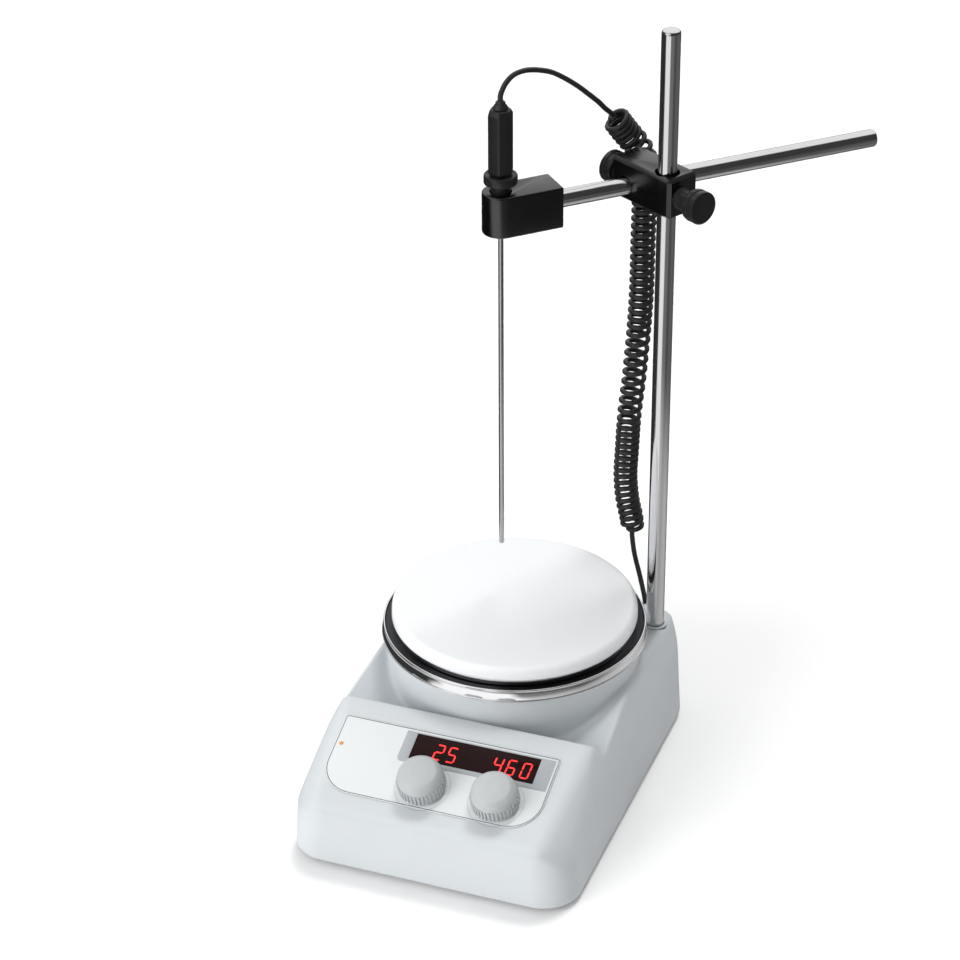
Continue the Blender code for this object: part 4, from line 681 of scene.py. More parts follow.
@dataclass
class ProbeLead:
    """The probe's curly lead, from the gland over the boss and down to the plug."""

    shop: FinishShop
    radius: float = 0.0014
    curl_radii: Flat = (0.0056, 0.0064)
    curl_points: int = 16
    ramp_turns: float = 0.9
    plane_y: float = 0.091
    split_height: float = 0.303
    step: float = 0.002
    gland_top: float = 0.3859
    probe_axis: Flat = (-0.010673, 0.008603)
    plug_x: float = 0.047
    plug_top: float = 0.0443
    hanging_route: list[Flat] = field(default_factory=lambda: [
        (0.0383, 0.0916), (0.0380, 0.102), (0.0350, 0.116), (0.0336, 0.131), (0.0341, 0.148), (0.0352, 0.172),
        (0.0376, 0.198), (0.0402, 0.241), (0.0406, 0.280), (0.0408, 0.303)])
    upper_route: list[Point] = field(default_factory=lambda: [
        (0.0405, 0.0905, 0.3190), (0.0396, 0.0902, 0.3275), (0.0372, 0.0893, 0.3335),
        (0.0341, 0.0880, 0.3380),
        (0.0313, 0.0862, 0.3423), (0.0286, 0.0840, 0.3471), (0.0260, 0.0815, 0.3525),
        (0.0247, 0.0795, 0.3552)])
    arc_route: list[Point] = field(default_factory=lambda: [
        (0.0247, 0.0795, 0.3552), (0.0228, 0.0758, 0.3589), (0.0208, 0.0716, 0.3637),
        (0.0178, 0.0657, 0.3696),
        (0.0136, 0.0572, 0.3777), (0.0095, 0.0489, 0.3846), (0.0054, 0.0408, 0.3904),
        (0.0017, 0.0335, 0.3939),
        (-0.0015, 0.0270, 0.3962), (-0.0043, 0.0214, 0.3971), (-0.0070, 0.0159, 0.3965),
        (-0.0092, 0.0115, 0.3935),
        (-0.0103, 0.0094, 0.3901)])
    pitches: list[Flat] = field(default_factory=lambda: [
        (0.0, 0.0039), (0.071, 0.0039), (0.082, 0.0061), (0.128, 0.0061), (0.139, 0.0046), (0.205, 0.0046),
        (0.218, 0.0049), (0.248, 0.0049), (0.254, 0.0032), (0.272, 0.0032)])

    def build(self) -> None:
        """Build the four stretches, from the gland to the plug."""
        rubber = self.shop.make(LEAD_RUBBER)
        axis = self.probe_axis
        arc = self.arc_route + [(*axis, self.gland_top + 2 * self.radius), (*axis, self.gland_top)]
        arc_points = self.smooth_path(arc, self.step)
        spine = [(x, self.plane_y, z) for x, z in self.hanging_route]
        curled, split = self.curled_path(spine + self.upper_route)
        hanging, upper = curled[:split + 1], curled[split:]
        down = [(0.0383, self.plane_y, 0.0916), (0.0400, self.plane_y, 0.080), (0.0440, self.plane_y, 0.064),
                (self.plug_x, self.plane_y, self.plug_top + 4 * self.radius),
                (self.plug_x, self.plane_y, self.plug_top)]
        down_points = self.smooth_path(down, self.step)
        self.stretch("lead_over_arc", arc_points[::-1], rubber, "lead_arc")
        self.stretch("lead_upper_curls", upper[::-1], rubber, "coil_upper")
        self.stretch("lead_hanging_curls", hanging[::-1], rubber, "coil_hanging")
        self.stretch("lead_to_plug", down_points, rubber, "lead_lower")

    def stretch(self, name: str, points: Sequence[Vector], finish: bpy.types.Material, node: str) -> None:
        """Build one stretch of the lead as a round tube, from its exit on."""
        curve = bpy.data.curves.new(name, "CURVE")
        curve.dimensions = "3D"
        curve.bevel_depth = self.radius
        curve.bevel_resolution = 3
        curve.use_fill_caps = True
        spline = curve.splines.new("POLY")
        spline.points.add(len(points) - 1)
        lowered = [Vector(point) - Vector((0, 0, PLATE_TOP)) for point in points]
        for target, point in zip(spline.points, lowered):
            target.co = (*point, 1)
        clear_selection()
        piece = bpy.data.objects.new(name, curve)
        bpy.context.collection.objects.link(piece)
        only(piece)
        bpy.ops.object.convert(target="MESH")
        piece = bpy.context.object
        piece.data.materials.clear()
        piece.data.materials.append(finish)
        bpy.ops.object.shade_smooth()
        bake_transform(piece)
        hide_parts(node)

    @staticmethod
    def smooth_path(route: Sequence[Point], step: float) -> list[Vector]:
        """Read points at even steps from a smooth curve through a route."""
        points = [Vector(point) for point in route]
        ends = [points[0] * 2 - points[1]] + points + [points[-1] * 2 - points[-2]]
        fine = []
        for before, start, end, after in zip(ends, ends[1:], ends[2:], ends[3:]):
            for part in range(24):
                t = part / 24
                fine.append(0.5 * (2 * start + (end - before) * t
                                   + (2 * before - 5 * start + 4 * end - after) * t ** 2
                                   + (3 * start - before - 3 * end + after) * t ** 3))
        fine.append(points[-1])
        walked = np.concatenate([[0], np.cumsum([(b - a).length for a, b in zip(fine, fine[1:])])])
        wanted = np.linspace(0, walked[-1], max(2, round(walked[-1] / step)) + 1)
        columns = [np.interp(wanted, walked, [point[axis] for point in fine]) for axis in range(3)]
        return [Vector(point) for point in zip(*columns)]

    def curled_path(self, route: Sequence[Point]) -> tuple[list[Vector], int]:
        """Wind the lead round a route, and find the curl that hangs from the boss.

        Args:
            route: The curls' centre line, from its lower end.

        Returns:
            The wound points and the index of the one where the boss takes over.
        """
        spine = self.smooth_path(route, self.radius / 2)
        ways = [(spine[min(i + 1, len(spine) - 1)] - spine[max(i - 1, 0)]).normalized()
                for i in range(len(spine))]
        walked = np.concatenate([[0], np.cumsum([(b - a).length for a, b in zip(spine, spine[1:])])])
        knots, values = zip(*self.pitches)
        turns = np.concatenate([[0], np.cumsum(np.diff(walked) / np.interp(walked[1:], knots, values))])
        side = ways[0].orthogonal().normalized()
        sides = []
        for way in ways:
            side = (side - way * side.dot(way)).normalized()
            sides.append(side)
        straight = 3 * self.radius
        first = next(i for i, length in enumerate(walked) if length > straight)
        last = next(i for i, length in enumerate(walked) if length > walked[-1] - straight)
        split_at = min(range(len(spine)), key=lambda i: abs(spine[i].z - self.split_height))
        points = [spine[0], spine[0] + ways[0] * 2 * self.radius]
        count = round((turns[last] - turns[first]) * self.curl_points)
        split = 0
        for wanted in np.linspace(turns[first], turns[last], count + 1):
            at = float(np.interp(wanted, turns, range(len(spine))))
            low = min(int(at), len(spine) - 2)
            centre = spine[low].lerp(spine[low + 1], at - low)
            ramp = min(min(wanted - turns[first], turns[last] - wanted) / self.ramp_turns, 1)
            angle = math.tau * wanted
            out = sides[low] * math.cos(angle) + ways[low].cross(sides[low]) * math.sin(angle)
            if at <= split_at:
                split = len(points)
            curl = float(np.interp(at, (split_at, split_at + 20), self.curl_radii))
            points.append(centre + out * curl * ramp * ramp * (3 - 2 * ramp))
        points += [spine[-1] - ways[-1] * 2 * self.radius, spine[-1]]
        return points, split


@dataclass
class Housing:
    """The one-piece housing, drawn as a single skin from the pod's neck to the bottom edge."""

    shop: FinishShop
    half_width: float = 0.080
    front: float = -0.141
    rear: float = 0.074
    corner: float = 0.021
    bottom: float = 0.003
    wall: float = 0.003
    ridge: Flat = RIDGE
    land: float = 0.003
    slope: float = PANEL_SLOPE
    rear_deck: float = 0.061
    valley: Flat = (-0.066, 0.044)
    valley_wall_faces: Flat = (0.951, 0.309)
    rise_y: float = 0.020
    valley_side: Point = (0.0775, -0.073, 0.056)
    valley_side_slopes: Flat = (0.55, 0.19)
    deck_half: float = 0.071
    panel_halves: Flat = (0.0695, 0.064)
    facet_runs: Flat = (1.05, 0.57)
    draft: float = 0.062
    pod_radii: tuple[float, ...] = (0.0660, 0.0699, 0.0690, 0.0690)
    pod_heights: tuple[float, ...] = (0.0300, 0.0758, 0.0770, 0.2000)
    neck_top: float = 0.083
    crest_rounding: float = 0.0035
    facet_rounding: float = 0.003
    outline_rounding: float = 0.0045
    valley_rounding: float = 0.006
    brink_rounding: float = 0.0022
    pod_fillet: float = 0.0035
    bottom_rounding: float = 0.0015
    trace_step: float = 0.0003
    most_steps: int = 760
    sharpest_bend: float = 900
    bend_share: Flat = (4.5, 250)
    bend_window: int = 9
    lines: int = 480
    outer_points: int = 150
    inner_points: int = 22

    def build(self) -> None:
        """Trace the skin, cut the rear openings and dress the housing."""
        turns = self.line_angles()
        outer = self.resample(self.trace(turns, 0.0, True), self.outer_points)
        inner = self.resample(self.trace(turns, -self.wall, False), self.inner_points)
        piece = self.skin(turns, outer, inner)
        for cutter in self.cutters():
            cut(piece, cutter)
        hand_over(piece, self.shop.make(HOUSING_PLASTIC), "base", ["upper_housing"], 50)

    def panel_height(self, y: np.ndarray) -> np.ndarray:
        """Give the sloping panel's height."""
        return self.ridge[1] + (y - self.ridge[0]) * math.tan(self.slope)

    def deck_height(self, y: np.ndarray) -> np.ndarray:
        """Give the height of the deck behind the ridge."""
        start = self.ridge[0] + self.land
        return self.ridge[1] + (self.rear_deck - self.ridge[1]) * (y - start) / (self.rear - start)

    @staticmethod
    def meet(first: np.ndarray, second: np.ndarray, radius: float) -> np.ndarray:
        """Keep what lies in both shapes, with a rounded edge between them."""
        corner = np.hypot(np.maximum(first + radius, 0), np.maximum(second + radius, 0))
        return np.minimum(-radius, np.maximum(first, second)) + corner

    @staticmethod
    def join(first: np.ndarray, second: np.ndarray, radius: float) -> np.ndarray:
        """Keep what lies in either shape, with a hollow fillet between them."""
        corner = np.hypot(np.maximum(radius - first, 0), np.maximum(radius - second, 0))
        return np.maximum(radius, np.minimum(first, second)) - corner

    def plan(self, x: np.ndarray, y: np.ndarray, z: np.ndarray) -> np.ndarray:
        """Give the distance outside the plan outline, whose sides draw in towards the top."""
        middle, half = (self.front + self.rear) / 2, (self.rear - self.front) / 2
        across = np.abs(x) - self.half_width + self.corner + self.draft * (z - self.bottom)
        along = np.abs(y - middle) - half + self.corner
        outside = np.hypot(np.maximum(across, 0), np.maximum(along, 0))
        return outside + np.minimum(np.maximum(across, along), 0) - self.corner

    def field(self, turn: np.ndarray, r: np.ndarray, z: np.ndarray, level: float, floor: bool) -> np.ndarray:
        """Give how far a point lies outside the housing, below zero inside.

        Args:
            turn: Each line's direction in plan.
            r: The distance from the plate's axis.
            z: The height.
            level: The surface that is wanted: zero outside, below zero for the wall's inner face.
            floor: Whether the bottom edge closes the shape.

        Returns:
            The distance, about in metres.
        """
        x, y = r * np.cos(turn), r * np.sin(turn)
        panel = (z - self.panel_height(y)) * math.cos(self.slope)
        body = self.meet(panel, z - self.deck_height(y), self.crest_rounding)
        front_share = np.maximum(self.ridge[0] - y, 0) / (self.ridge[0] - self.front)
        crease = self.panel_halves[0] + (self.panel_halves[1] - self.panel_halves[0]) * front_share
        for half, top, run in ((self.deck_half, self.deck_height(y), self.facet_runs[1]),
                               (crease, self.panel_height(y), self.facet_runs[0])):
            slanted = (np.abs(x) - half - run * (top - z)) / math.hypot(1, run)
            body = self.meet(body, slanted, self.facet_rounding)
        body = self.meet(body, self.plan(x, y, z), self.outline_rounding)
        behind, above = y - self.valley[0], z - self.valley[1]
        wall = behind * self.valley_wall_faces[0] + above * self.valley_wall_faces[1]
        rise_angle = math.atan2(self.deck_height(self.rise_y) - self.valley[1], self.rise_y - self.valley[0])
        rise = above * math.cos(rise_angle) - behind * math.sin(rise_angle)
        (start_x, start_y, start_z), (across, along) = self.valley_side, self.valley_side_slopes
        side = start_z + across * (np.abs(x) - start_x) + along * (y - start_y) - z
        dip = self.meet(-wall, -rise, self.valley_rounding)
        dip = self.meet(dip, side / math.hypot(1, across, along), self.valley_rounding)
        body = self.meet(body, -dip, self.brink_rounding)
        body = self.join(body, r - np.interp(z, self.pod_heights, self.pod_radii), self.pod_fillet)
        if floor:
            body = self.meet(body, self.bottom - z, self.bottom_rounding)
        return body - level

    def line_angles(self) -> np.ndarray:
        """Spread the lines evenly along the outline, as seen from the plate's axis."""
        box = (-self.half_width, self.half_width, self.front, self.rear)
        outline = np.array(rounded_box(*box, [self.corner] * 4, 24))
        closed = np.vstack([outline, outline[:1]])
        walked = np.concatenate([[0], np.cumsum(np.hypot(*np.diff(closed, axis=0).T))])
        wanted = np.linspace(0, walked[-1], self.lines, endpoint=False)
        return np.arctan2(np.interp(wanted, walked, closed[:, 1]), np.interp(wanted, walked, closed[:, 0]))

    def trace(self, turns: np.ndarray, level: float, floor: bool) -> np.ndarray:
        """Follow the surface on every line at once, from the neck to the bottom, as radius and height."""
        reach = self.trace_step / 10
        r = np.full(len(turns), self.pod_radii[-1] + level)
        z = np.full(len(turns), self.neck_top)
        track = [np.stack([r, z], 1)]
        for _ in range(self.most_steps):
            for correcting in (False, True):
                across = (self.field(turns, r + reach, z, level, floor)
                          - self.field(turns, r - reach, z, level, floor))
                upward = (self.field(turns, r, z + reach, level, floor)
                          - self.field(turns, r, z - reach, level, floor))
                size = np.maximum(np.hypot(across, upward), TINY * TINY)
                across, upward = across / size, upward / size
                if correcting:
                    miss = self.field(turns, r, z, level, floor) * 2 * reach / size
                    r, z = r - across * miss, z - upward * miss
                    continue
                done = z <= self.bottom
                if floor:
                    outside = self.plan(r * np.cos(turns), r * np.sin(turns), z)
                    done = (outside < -self.wall) & (z < self.bottom + self.wall / 3)
                go = np.where(done, 0, self.trace_step)
                r, z = r + upward * go, z - across * go
            r, z = np.where(done, track[-1][:, 0], r), np.where(done, track[-1][:, 1], z)
            track.append(np.stack([r, z], 1))
            if done.all():
                break
        return np.stack(track, 1)

    def resample(self, track: np.ndarray, count: int) -> np.ndarray:
        """Thin the steps out, keeping more where the surface bends."""
        moves = np.diff(track, axis=1)
        lengths = np.hypot(moves[..., 0], moves[..., 1])
        heading = np.unwrap(np.arctan2(moves[..., 1], moves[..., 0]), axis=1)
        bend = np.abs(np.diff(heading, axis=1, prepend=heading[:, :1]))
        bend[lengths < TINY] = 0
        bend = np.minimum(bend / self.trace_step, self.sharpest_bend)
        window = np.ones(self.bend_window) / self.bend_window
        bend = np.apply_along_axis(lambda line: np.convolve(line, window, "same"), 1, bend)
        most, usual = self.bend_share
        density = 1 + most * (bend / usual) ** 0.7
        half = self.bend_window // 2
        density = sum(np.roll(density, shift, axis=0) for shift in range(-half, half + 1)) / self.bend_window
        weight = np.concatenate([np.zeros((len(track), 1)), np.cumsum(density * lengths, axis=1)], axis=1)
        kept = []
        for line, heavy in zip(track, weight):
            wanted = np.linspace(0, heavy[-1], count)
            radii, heights = np.interp(wanted, heavy, line[:, 0]), np.interp(wanted, heavy, line[:, 1])
            kept.append(np.stack([radii, heights], 1))
        return np.array(kept)

    def skin(self, turns: np.ndarray, outer: np.ndarray, inner: np.ndarray) -> Piece:
        """Stitch the outer and inner lines into one closed skin."""
        loop = np.concatenate([outer, inner[:, :-1][:, ::-1]], axis=1)
        count = loop.shape[1]
        x, y = loop[..., 0] * np.cos(turns)[:, None], loop[..., 0] * np.sin(turns)[:, None]
        points = np.stack([x, y, loop[..., 1]], 2).reshape(-1, 3)
        faces = []
        for line in range(len(turns)):
            following = (line + 1) % len(turns)
            for index in range(count):
                after = (index + 1) % count
                faces.append((line * count + index, line * count + after,
                              following * count + after, following * count + index))
        return tidy_normals(from_points("housing_shell", points, faces), 1e-7)

    def cutters(self) -> list[Piece]:
        """Make the cutters for the inlet, the switch, the sensor socket and the rod's bush."""
        front, rear = self.rear - 0.009, self.rear + 0.004
        cutters = []
        for name, x, z, wide, high in (("inlet_hole", -0.045, 0.028, 0.0138, 0.0103),
                                       ("switch_hole", -0.004, 0.028, 0.0078, 0.0108)):
            cutters.append(block(name, (x - wide, front, z - high), (x + wide, rear, z + high)))
        socket = drum("socket_hole", 0.0078, -rear, -front, 48)
        cutters.append(place(socket, Matrix.Translation(SOCKET_PLACE) @ Matrix.Rotation(math.pi / 2, 4, "X")))
        bush = drum("bush_hole", 0.0065, 0.050, 0.070, 48)
        cutters.append(place(bush, Matrix.Translation((*ROD_PLACE, 0))))
        return cutters


@dataclass
class HotPlate:
    """The white plate, its bright lower rim, the groove with its dark floor of painted shade, and the chrome
    trim ring.
    """

    shop: FinishShop
    top: float = PLATE_TOP
    radius: float = 0.0675
    thickness: float = 0.008
    edge: float = 0.0032
    ring_bottom: float = 0.0773
    ring_top: float = 0.0845
    ring_outer: float = 0.073
    ring_inner: float = 0.0694

    def build(self) -> None:
        """Turn the plate, its rim, the ring and the groove's dark floor, a ring of painted shade under the
        plate's edge.
        """
        low = self.top - self.thickness
        plate = rounded_profile([(0, low - 0.003, 0), (0.058, low - 0.003, 0.0003), (0.058, low, 0.0003),
                                 (self.radius - 0.0006, low, 0.0004), (self.radius, low + 0.0012, 0.0008),
                                 (self.radius - 0.0002, self.top, self.edge), (0, self.top, 0)], 7)
        hand_over(turned("plate_body", plate, 160), self.shop.make(PLATE_CERAMIC), "base", ["hot_plate"])
        rim = rounded_profile([(0.0585, low - 0.0002, 0), (0.0664, low - 0.0002, 0.0003),
                               (0.0664, low - 0.0030, 0.0004),
                               (0.0585, low - 0.0030, 0), (0.0585, low - 0.0002, 0)], 4)
        hand_over(turned("plate_rim_band", rim, 160), self.shop.make(CHROME), "base")
        bottom, top, outer = self.ring_bottom, self.ring_top, self.ring_outer
        ring = rounded_profile([(self.ring_inner, bottom, 0), (outer - 0.0006, bottom, 0.0003),
                                (outer, bottom + 0.0004, 0.0003),
                                (outer, bottom + 0.0009, 0.0003), (outer - 0.0006, bottom + 0.0011, 0.0001),
                                (outer - 0.0001, bottom + 0.0015, 0.0002),
                                (outer - 0.0008, top - 0.0019, 0.0003),
                                (outer - 0.0014, top - 0.0016, 0.0001),
                                (outer - 0.0008, top - 0.0012, 0.0004),
                                (outer - 0.0008, top, 0.0005), (outer - 0.0017, top, 0.0005),
                                (outer - 0.0021, top - 0.0030, 0.0003),
                                (self.ring_inner, top - 0.0030, 0), (self.ring_inner, bottom, 0)], 4)
        hand_over(turned("trim_ring_body", ring, 192), self.shop.make(CHROME), "base", ["plate_trim_ring"])
        # The groove's floor is a dark ring of painted shade in the gap under the plate, inside the trim ring.
        floor = [(0.0655, top - 0.0014), (outer - 0.0022, top - 0.0014), (outer - 0.0022, top - 0.0009),
                 (0.0655, top - 0.0009), (0.0655, top - 0.0014)]
        hand_over(turned("plate_groove_painted_shade", floor, 160), self.shop.make(GROOVE_SHADE_STEEL), "base")


@dataclass
class SupportRod:
    """The upright rod and the low collar at its foot."""

    shop: FinishShop
    place_xy: Flat = ROD_PLACE
    radius: float = 0.005
    top: float = 0.417
    foot: float = 0.0403
    deck: float = 0.06143

    def build(self) -> None:
        """Turn the rod and its collar in place."""
        where = Matrix.Translation((*self.place_xy, 0))
        rod = rounded_profile([(0, self.foot, 0), (self.radius, self.foot, 0.0005),
                               (self.radius, self.top, 0.0020), (0, self.top, 0)])
        hand_over(place(turned("rod_body", rod, 64), where), self.shop.make(ROD_STEEL), "mast",
                  ["support_rod"])
        inner, outer, low = self.radius + 0.0003, 0.0066, self.deck + 0.0003
        collar = rounded_profile([(inner, low, 0), (outer, low, 0.0002), (outer, low + 0.0010, 0.0004),
                                  (inner, low + 0.0010, 0), (inner, low, 0)])
        hand_over(place(turned("rod_foot_collar", collar, 64), where), self.shop.make(HOUSING_PLASTIC),
                  "base", ["rod_collar"])


@dataclass
class BossHead:
    """The clamp on the rod, with the arm through its left end and a thumbscrew at each end."""

    shop: FinishShop
    rod: Flat = ROD_PLACE
    height: float = ARM_HEIGHT
    heading: float = -30.0
    arm_heading: float = ARM_HEADING
    arm_offset: float = 0.0211
    low_corner: Point = (-0.0345, -0.0078, -0.0084)
    high_corner: Point = (0.0098, 0.0126, 0.0138)
    chamfer: float = 0.0018
    screw_lift: float = 0.0027

    @property
    def frame_matrix(self) -> Matrix:
        """The boss's own place, its long axis along X."""
        turn = Matrix.Rotation(math.radians(self.heading), 4, "Z")
        return Matrix.Translation((*self.rod, self.height)) @ turn

    def build(self) -> None:
        """Shape the block, drill it and add the two screws."""
        (left, _, low), (right, _, high) = self.low_corner, self.high_corner
        boss = soften(block("boss_block", self.low_corner, self.high_corner), self.chamfer, 1)
        cut(boss, slab("rod_bore", [(x * 1.08, y) for x, y in circle(0.0064, 64)], low - 0.004, high + 0.004))
        across = math.radians(self.arm_heading - self.heading)
        lying = Matrix.Translation((-self.arm_offset, 0, 0)) @ Matrix.Rotation(across, 4, "Z") @ ALONG_X
        cut(boss, place(drum("arm_bore", 0.0053, -0.03, 0.03), lying))
        raised = Matrix.Translation((0, 0, self.screw_lift)) @ ALONG_X
        for name, start, stop in (("right_hole", 0.0040, right + 0.004),
                                  ("left_hole", left - 0.004, -self.arm_offset - 0.004)):
            cut(boss, place(drum(name, 0.0028, start, stop, 32), raised))
        soften(boss, 0.0003, 2, 40)
        hand_over(place(boss, self.frame_matrix), self.shop.make(BLACK_ANODISED), "boss", ["boss_head"])
        seat = self.frame_matrix @ Matrix.Translation((right, 0, self.screw_lift))
        self.screw("rod_screw_knob", seat, "rod_clamp", "rod_thumbscrew", 0.0045, 0.0099)
        seat = (self.frame_matrix @ Matrix.Translation((left, 0, self.screw_lift))
                @ Matrix.Rotation(math.pi, 4, "Z"))
        self.screw("arm_screw_knob", seat, "arm_clamp", "arm_thumbscrew", 0.0073, 0.0010)

    def screw(self, name: str, where: Matrix, body: str, node: str, stem: float, neck: float) -> None:
        """Turn one thumbscrew, with its stem inside the boss and its head off it by the neck."""
        radius, tip = 0.0088, neck + 0.0080
        corners = [(0, -stem, 0), (0.0025, -stem, 0.0003), (0.0025, 0.0003, 0.0002), (0.0060, 0.0003, 0.0002)]
        if neck > 0.005:
            corners += [(0.0060, 0.0030, 0.0002), (0.0055, 0.0034, 0.0002), (0.0055, 0.0041, 0.0002),
                        (0.0060, 0.0045, 0.0002)]
        corners += [(0.0060, neck, 0.0002), (radius - 0.0005, neck, 0.0006), (radius, neck + 0.0016, 0.0006),
                    (radius, neck + 0.0033, 0.0003), (radius - 0.0005, neck + 0.0036, 0.0002),
                    (radius - 0.0005, neck + 0.0043, 0.0002), (radius, neck + 0.0046, 0.0003),
                    (radius, tip - 0.0006, 0.0005), (radius - 0.0010, tip, 0.0008), (0, tip, 0)]
        knob = turned(name, rounded_profile(corners, 3), 72)
        place(knob, where @ ALONG_X)
        hand_over(knob, self.shop.make(BLACK_PLASTIC), body, [node])


@dataclass
class SensorArm:
    """The arm rod and the D-shaped holder that it carries over the plate."""

    shop: FinishShop
    crossing: Flat = (0.046227, 0.063550)
    height: float = ARM_HEIGHT
    heading: float = ARM_HEADING
    radius: float = 0.0048
    behind: float = 0.1404
    holder_from_boss: float = 0.0478
    holder_length: float = 0.0313
    width: float = 0.0196
    low: float = 0.3130
    high: float = HOLDER_TOP
    bite: float = 0.014

    @property
    def probe_matrix(self) -> Matrix:
        """The probe's axis, with X along the arm."""
        turn = math.radians(self.heading)
        reach = self.holder_from_boss + self.holder_length
        x, y = self.crossing[0] - reach * math.cos(turn), self.crossing[1] - reach * math.sin(turn)
        return Matrix.Translation((x, y, 0)) @ Matrix.Rotation(turn, 4, "Z")

    def build(self) -> None:
        """Turn the rod and shape the holder with its round nose."""
        start = -self.holder_from_boss - self.bite
        rod = rounded_profile([(0, start, 0), (self.radius, start, 0.0005),
                               (self.radius, self.behind, 0.0012), (0, self.behind, 0)])
        lying = (Matrix.Translation((*self.crossing, self.height))
                 @ Matrix.Rotation(math.radians(self.heading), 4, "Z")
                 @ ALONG_X)
        hand_over(place(turned("arm_body", rod, 64), lying), self.shop.make(ARM_STEEL), "arm", ["arm_rod"])
        half = self.width / 2
        turns = [math.pi / 2 + math.pi * step / 40 for step in range(41)]
        outline = [(half * math.cos(turn), half * math.sin(turn)) for turn in turns]
        outline += [(self.holder_length, -half), (self.holder_length, half)]
        holder = slab("holder_block", outline, self.low, self.high)
        soften(holder, 0.0010, 4)
        socket = place(drum("arm_socket", self.radius + 0.0003, self.holder_length - self.bite,
                            self.holder_length + 0.004),
                       Matrix.Translation((0, 0, self.height)) @ ALONG_X)
        cut(holder, socket)
        seat = turned("probe_seat", [(0, self.low - 0.004), (0.0022, self.low - 0.004),
                                     (0.0022, self.high - 0.004),
                                     (0.0058, self.high - 0.004), (0.0058, self.high + 0.004),
                                     (0, self.high + 0.004)], 64)
        cut(holder, seat)
        soften(holder, 0.0003, 2, 45)
        hand_over(place(holder, self.probe_matrix), self.shop.make(BLACK_ANODISED), "arm", ["sensor_holder"])


@dataclass
class Probe:
    """The temperature probe: collar, hexagonal handle, gland and steel sheath."""

    shop: FinishShop
    axis: Matrix
    holder_top: float = HOLDER_TOP
    collar_low: float = 0.3402
    collar_radius: float = 0.0088
    neck_radius: float = 0.0052
    flat: float = 0.0061
    handle_top: float = 0.3810
    sheath_radius: float = 0.0014
    tip: float = 0.125
    sheath_top: float = 0.3534

    def build(self) -> None:
        """Build the probe from its collar up, then its sheath."""
        foot, bore = self.holder_top - 0.0037, self.sheath_radius + 0.0003
        top = self.collar_low + 0.0053
        collar = rounded_profile([(bore, foot, 0), (self.neck_radius, foot, 0.0003),
                                  (self.neck_radius, self.collar_low - 0.0010, 0.0005),
                                  (0.0066, self.collar_low, 0.0006),
                                  (self.collar_radius, self.collar_low, 0.0010),
                                  (self.collar_radius, top, 0.0012), (0.0072, top, 0.0003),
                                  (0.0070, top - 0.0004, 0.0002),
                                  (bore, top - 0.0004, 0), (bore, foot, 0)], 4)
        self.add("probe_collar_ring", turned("probe_collar_ring", collar, 72), BLACK_PLASTIC, "probe_collar",
                 "black_plastic")
        self.add("probe_grip", self.grip(top + 0.0003), BLACK_PLASTIC, "probe_handle", "black_plastic")
        low = self.handle_top + 0.0003
        gland = rounded_profile([(0, low, 0), (0.0045, low, 0.0004), (0.0030, low + 0.0022, 0.0005),
                                 (0.0026, low + 0.0026, 0.0002),
                                 (0.0026, low + 0.0034, 0.0003), (0.0018, low + 0.0043, 0.0003),
                                 (0, low + 0.0043, 0)], 3)
        self.add("probe_gland_cone", turned("probe_gland_cone", gland, 64), LEAD_RUBBER, "probe_gland",
                 "rubber")
        sheath = rounded_profile([(0, self.tip, 0), (self.sheath_radius, self.tip, 0.0009),
                                  (self.sheath_radius, self.sheath_top, 0.0002), (0, self.sheath_top, 0)])
        self.add("probe_sheath_tube", turned("probe_sheath_tube", sheath, 40), SHEATH_STEEL, "probe_sheath",
                 "steel")

    def grip(self, foot: float) -> Piece:
        """Shape the hexagonal grip, drawn in at its top and its foot."""
        corner = self.flat / math.cos(math.pi / 6)
        top = self.handle_top
        levels = [(corner - 0.0008, foot), (corner, foot + 0.0010), (corner, top - 0.0026),
                  (corner - 0.0016, top)]
        points = [(radius * math.cos(math.pi / 3 * i), radius * math.sin(math.pi / 3 * i), z)
                  for radius, z in levels for i in range(6)]
        faces = [tuple(range(6)), tuple(range(18, 24))]
        for level in range(3):
            for i in range(6):
                low, following = level * 6, (i + 1) % 6
                faces.append((low + i, low + following, low + 6 + following, low + 6 + i))
        return soften(tidy_normals(from_points("probe_grip", points, faces)), 0.0007, 4, 20)

    def add(self, name: str, piece: Piece, finish: Finish, node: str, slot: str) -> None:
        """Set one turned piece on the probe's axis."""
        piece.name = name
        hand_over(place(piece, self.axis), self.shop.make(finish), "probe", [node], 30)


class Stroke(Enum):
    """The bars of a seven-bar digit, as their ends in columns and rows."""

    TOP = ((0, 2), (1, 2))
    MIDDLE = ((0, 1), (1, 1))
    BOTTOM = ((0, 0), (1, 0))
    UPPER_LEFT = ((0, 1), (0, 2))
    UPPER_RIGHT = ((1, 1), (1, 2))
    LOWER_LEFT = ((0, 0), (0, 1))
    LOWER_RIGHT = ((1, 0), (1, 1))


ALL_STROKES = tuple(Stroke)
DIGIT_STROKES: dict[str, tuple[Stroke, ...]] = {
    "0": tuple(stroke for stroke in ALL_STROKES if stroke is not Stroke.MIDDLE),
    "2": (Stroke.TOP, Stroke.UPPER_RIGHT, Stroke.MIDDLE, Stroke.LOWER_LEFT, Stroke.BOTTOM),
    "4": (Stroke.UPPER_LEFT, Stroke.MIDDLE, Stroke.UPPER_RIGHT, Stroke.LOWER_RIGHT),
    "5": (Stroke.TOP, Stroke.UPPER_LEFT, Stroke.MIDDLE, Stroke.LOWER_RIGHT, Stroke.BOTTOM),
    "6": tuple(stroke for stroke in ALL_STROKES if stroke is not Stroke.UPPER_RIGHT),
}


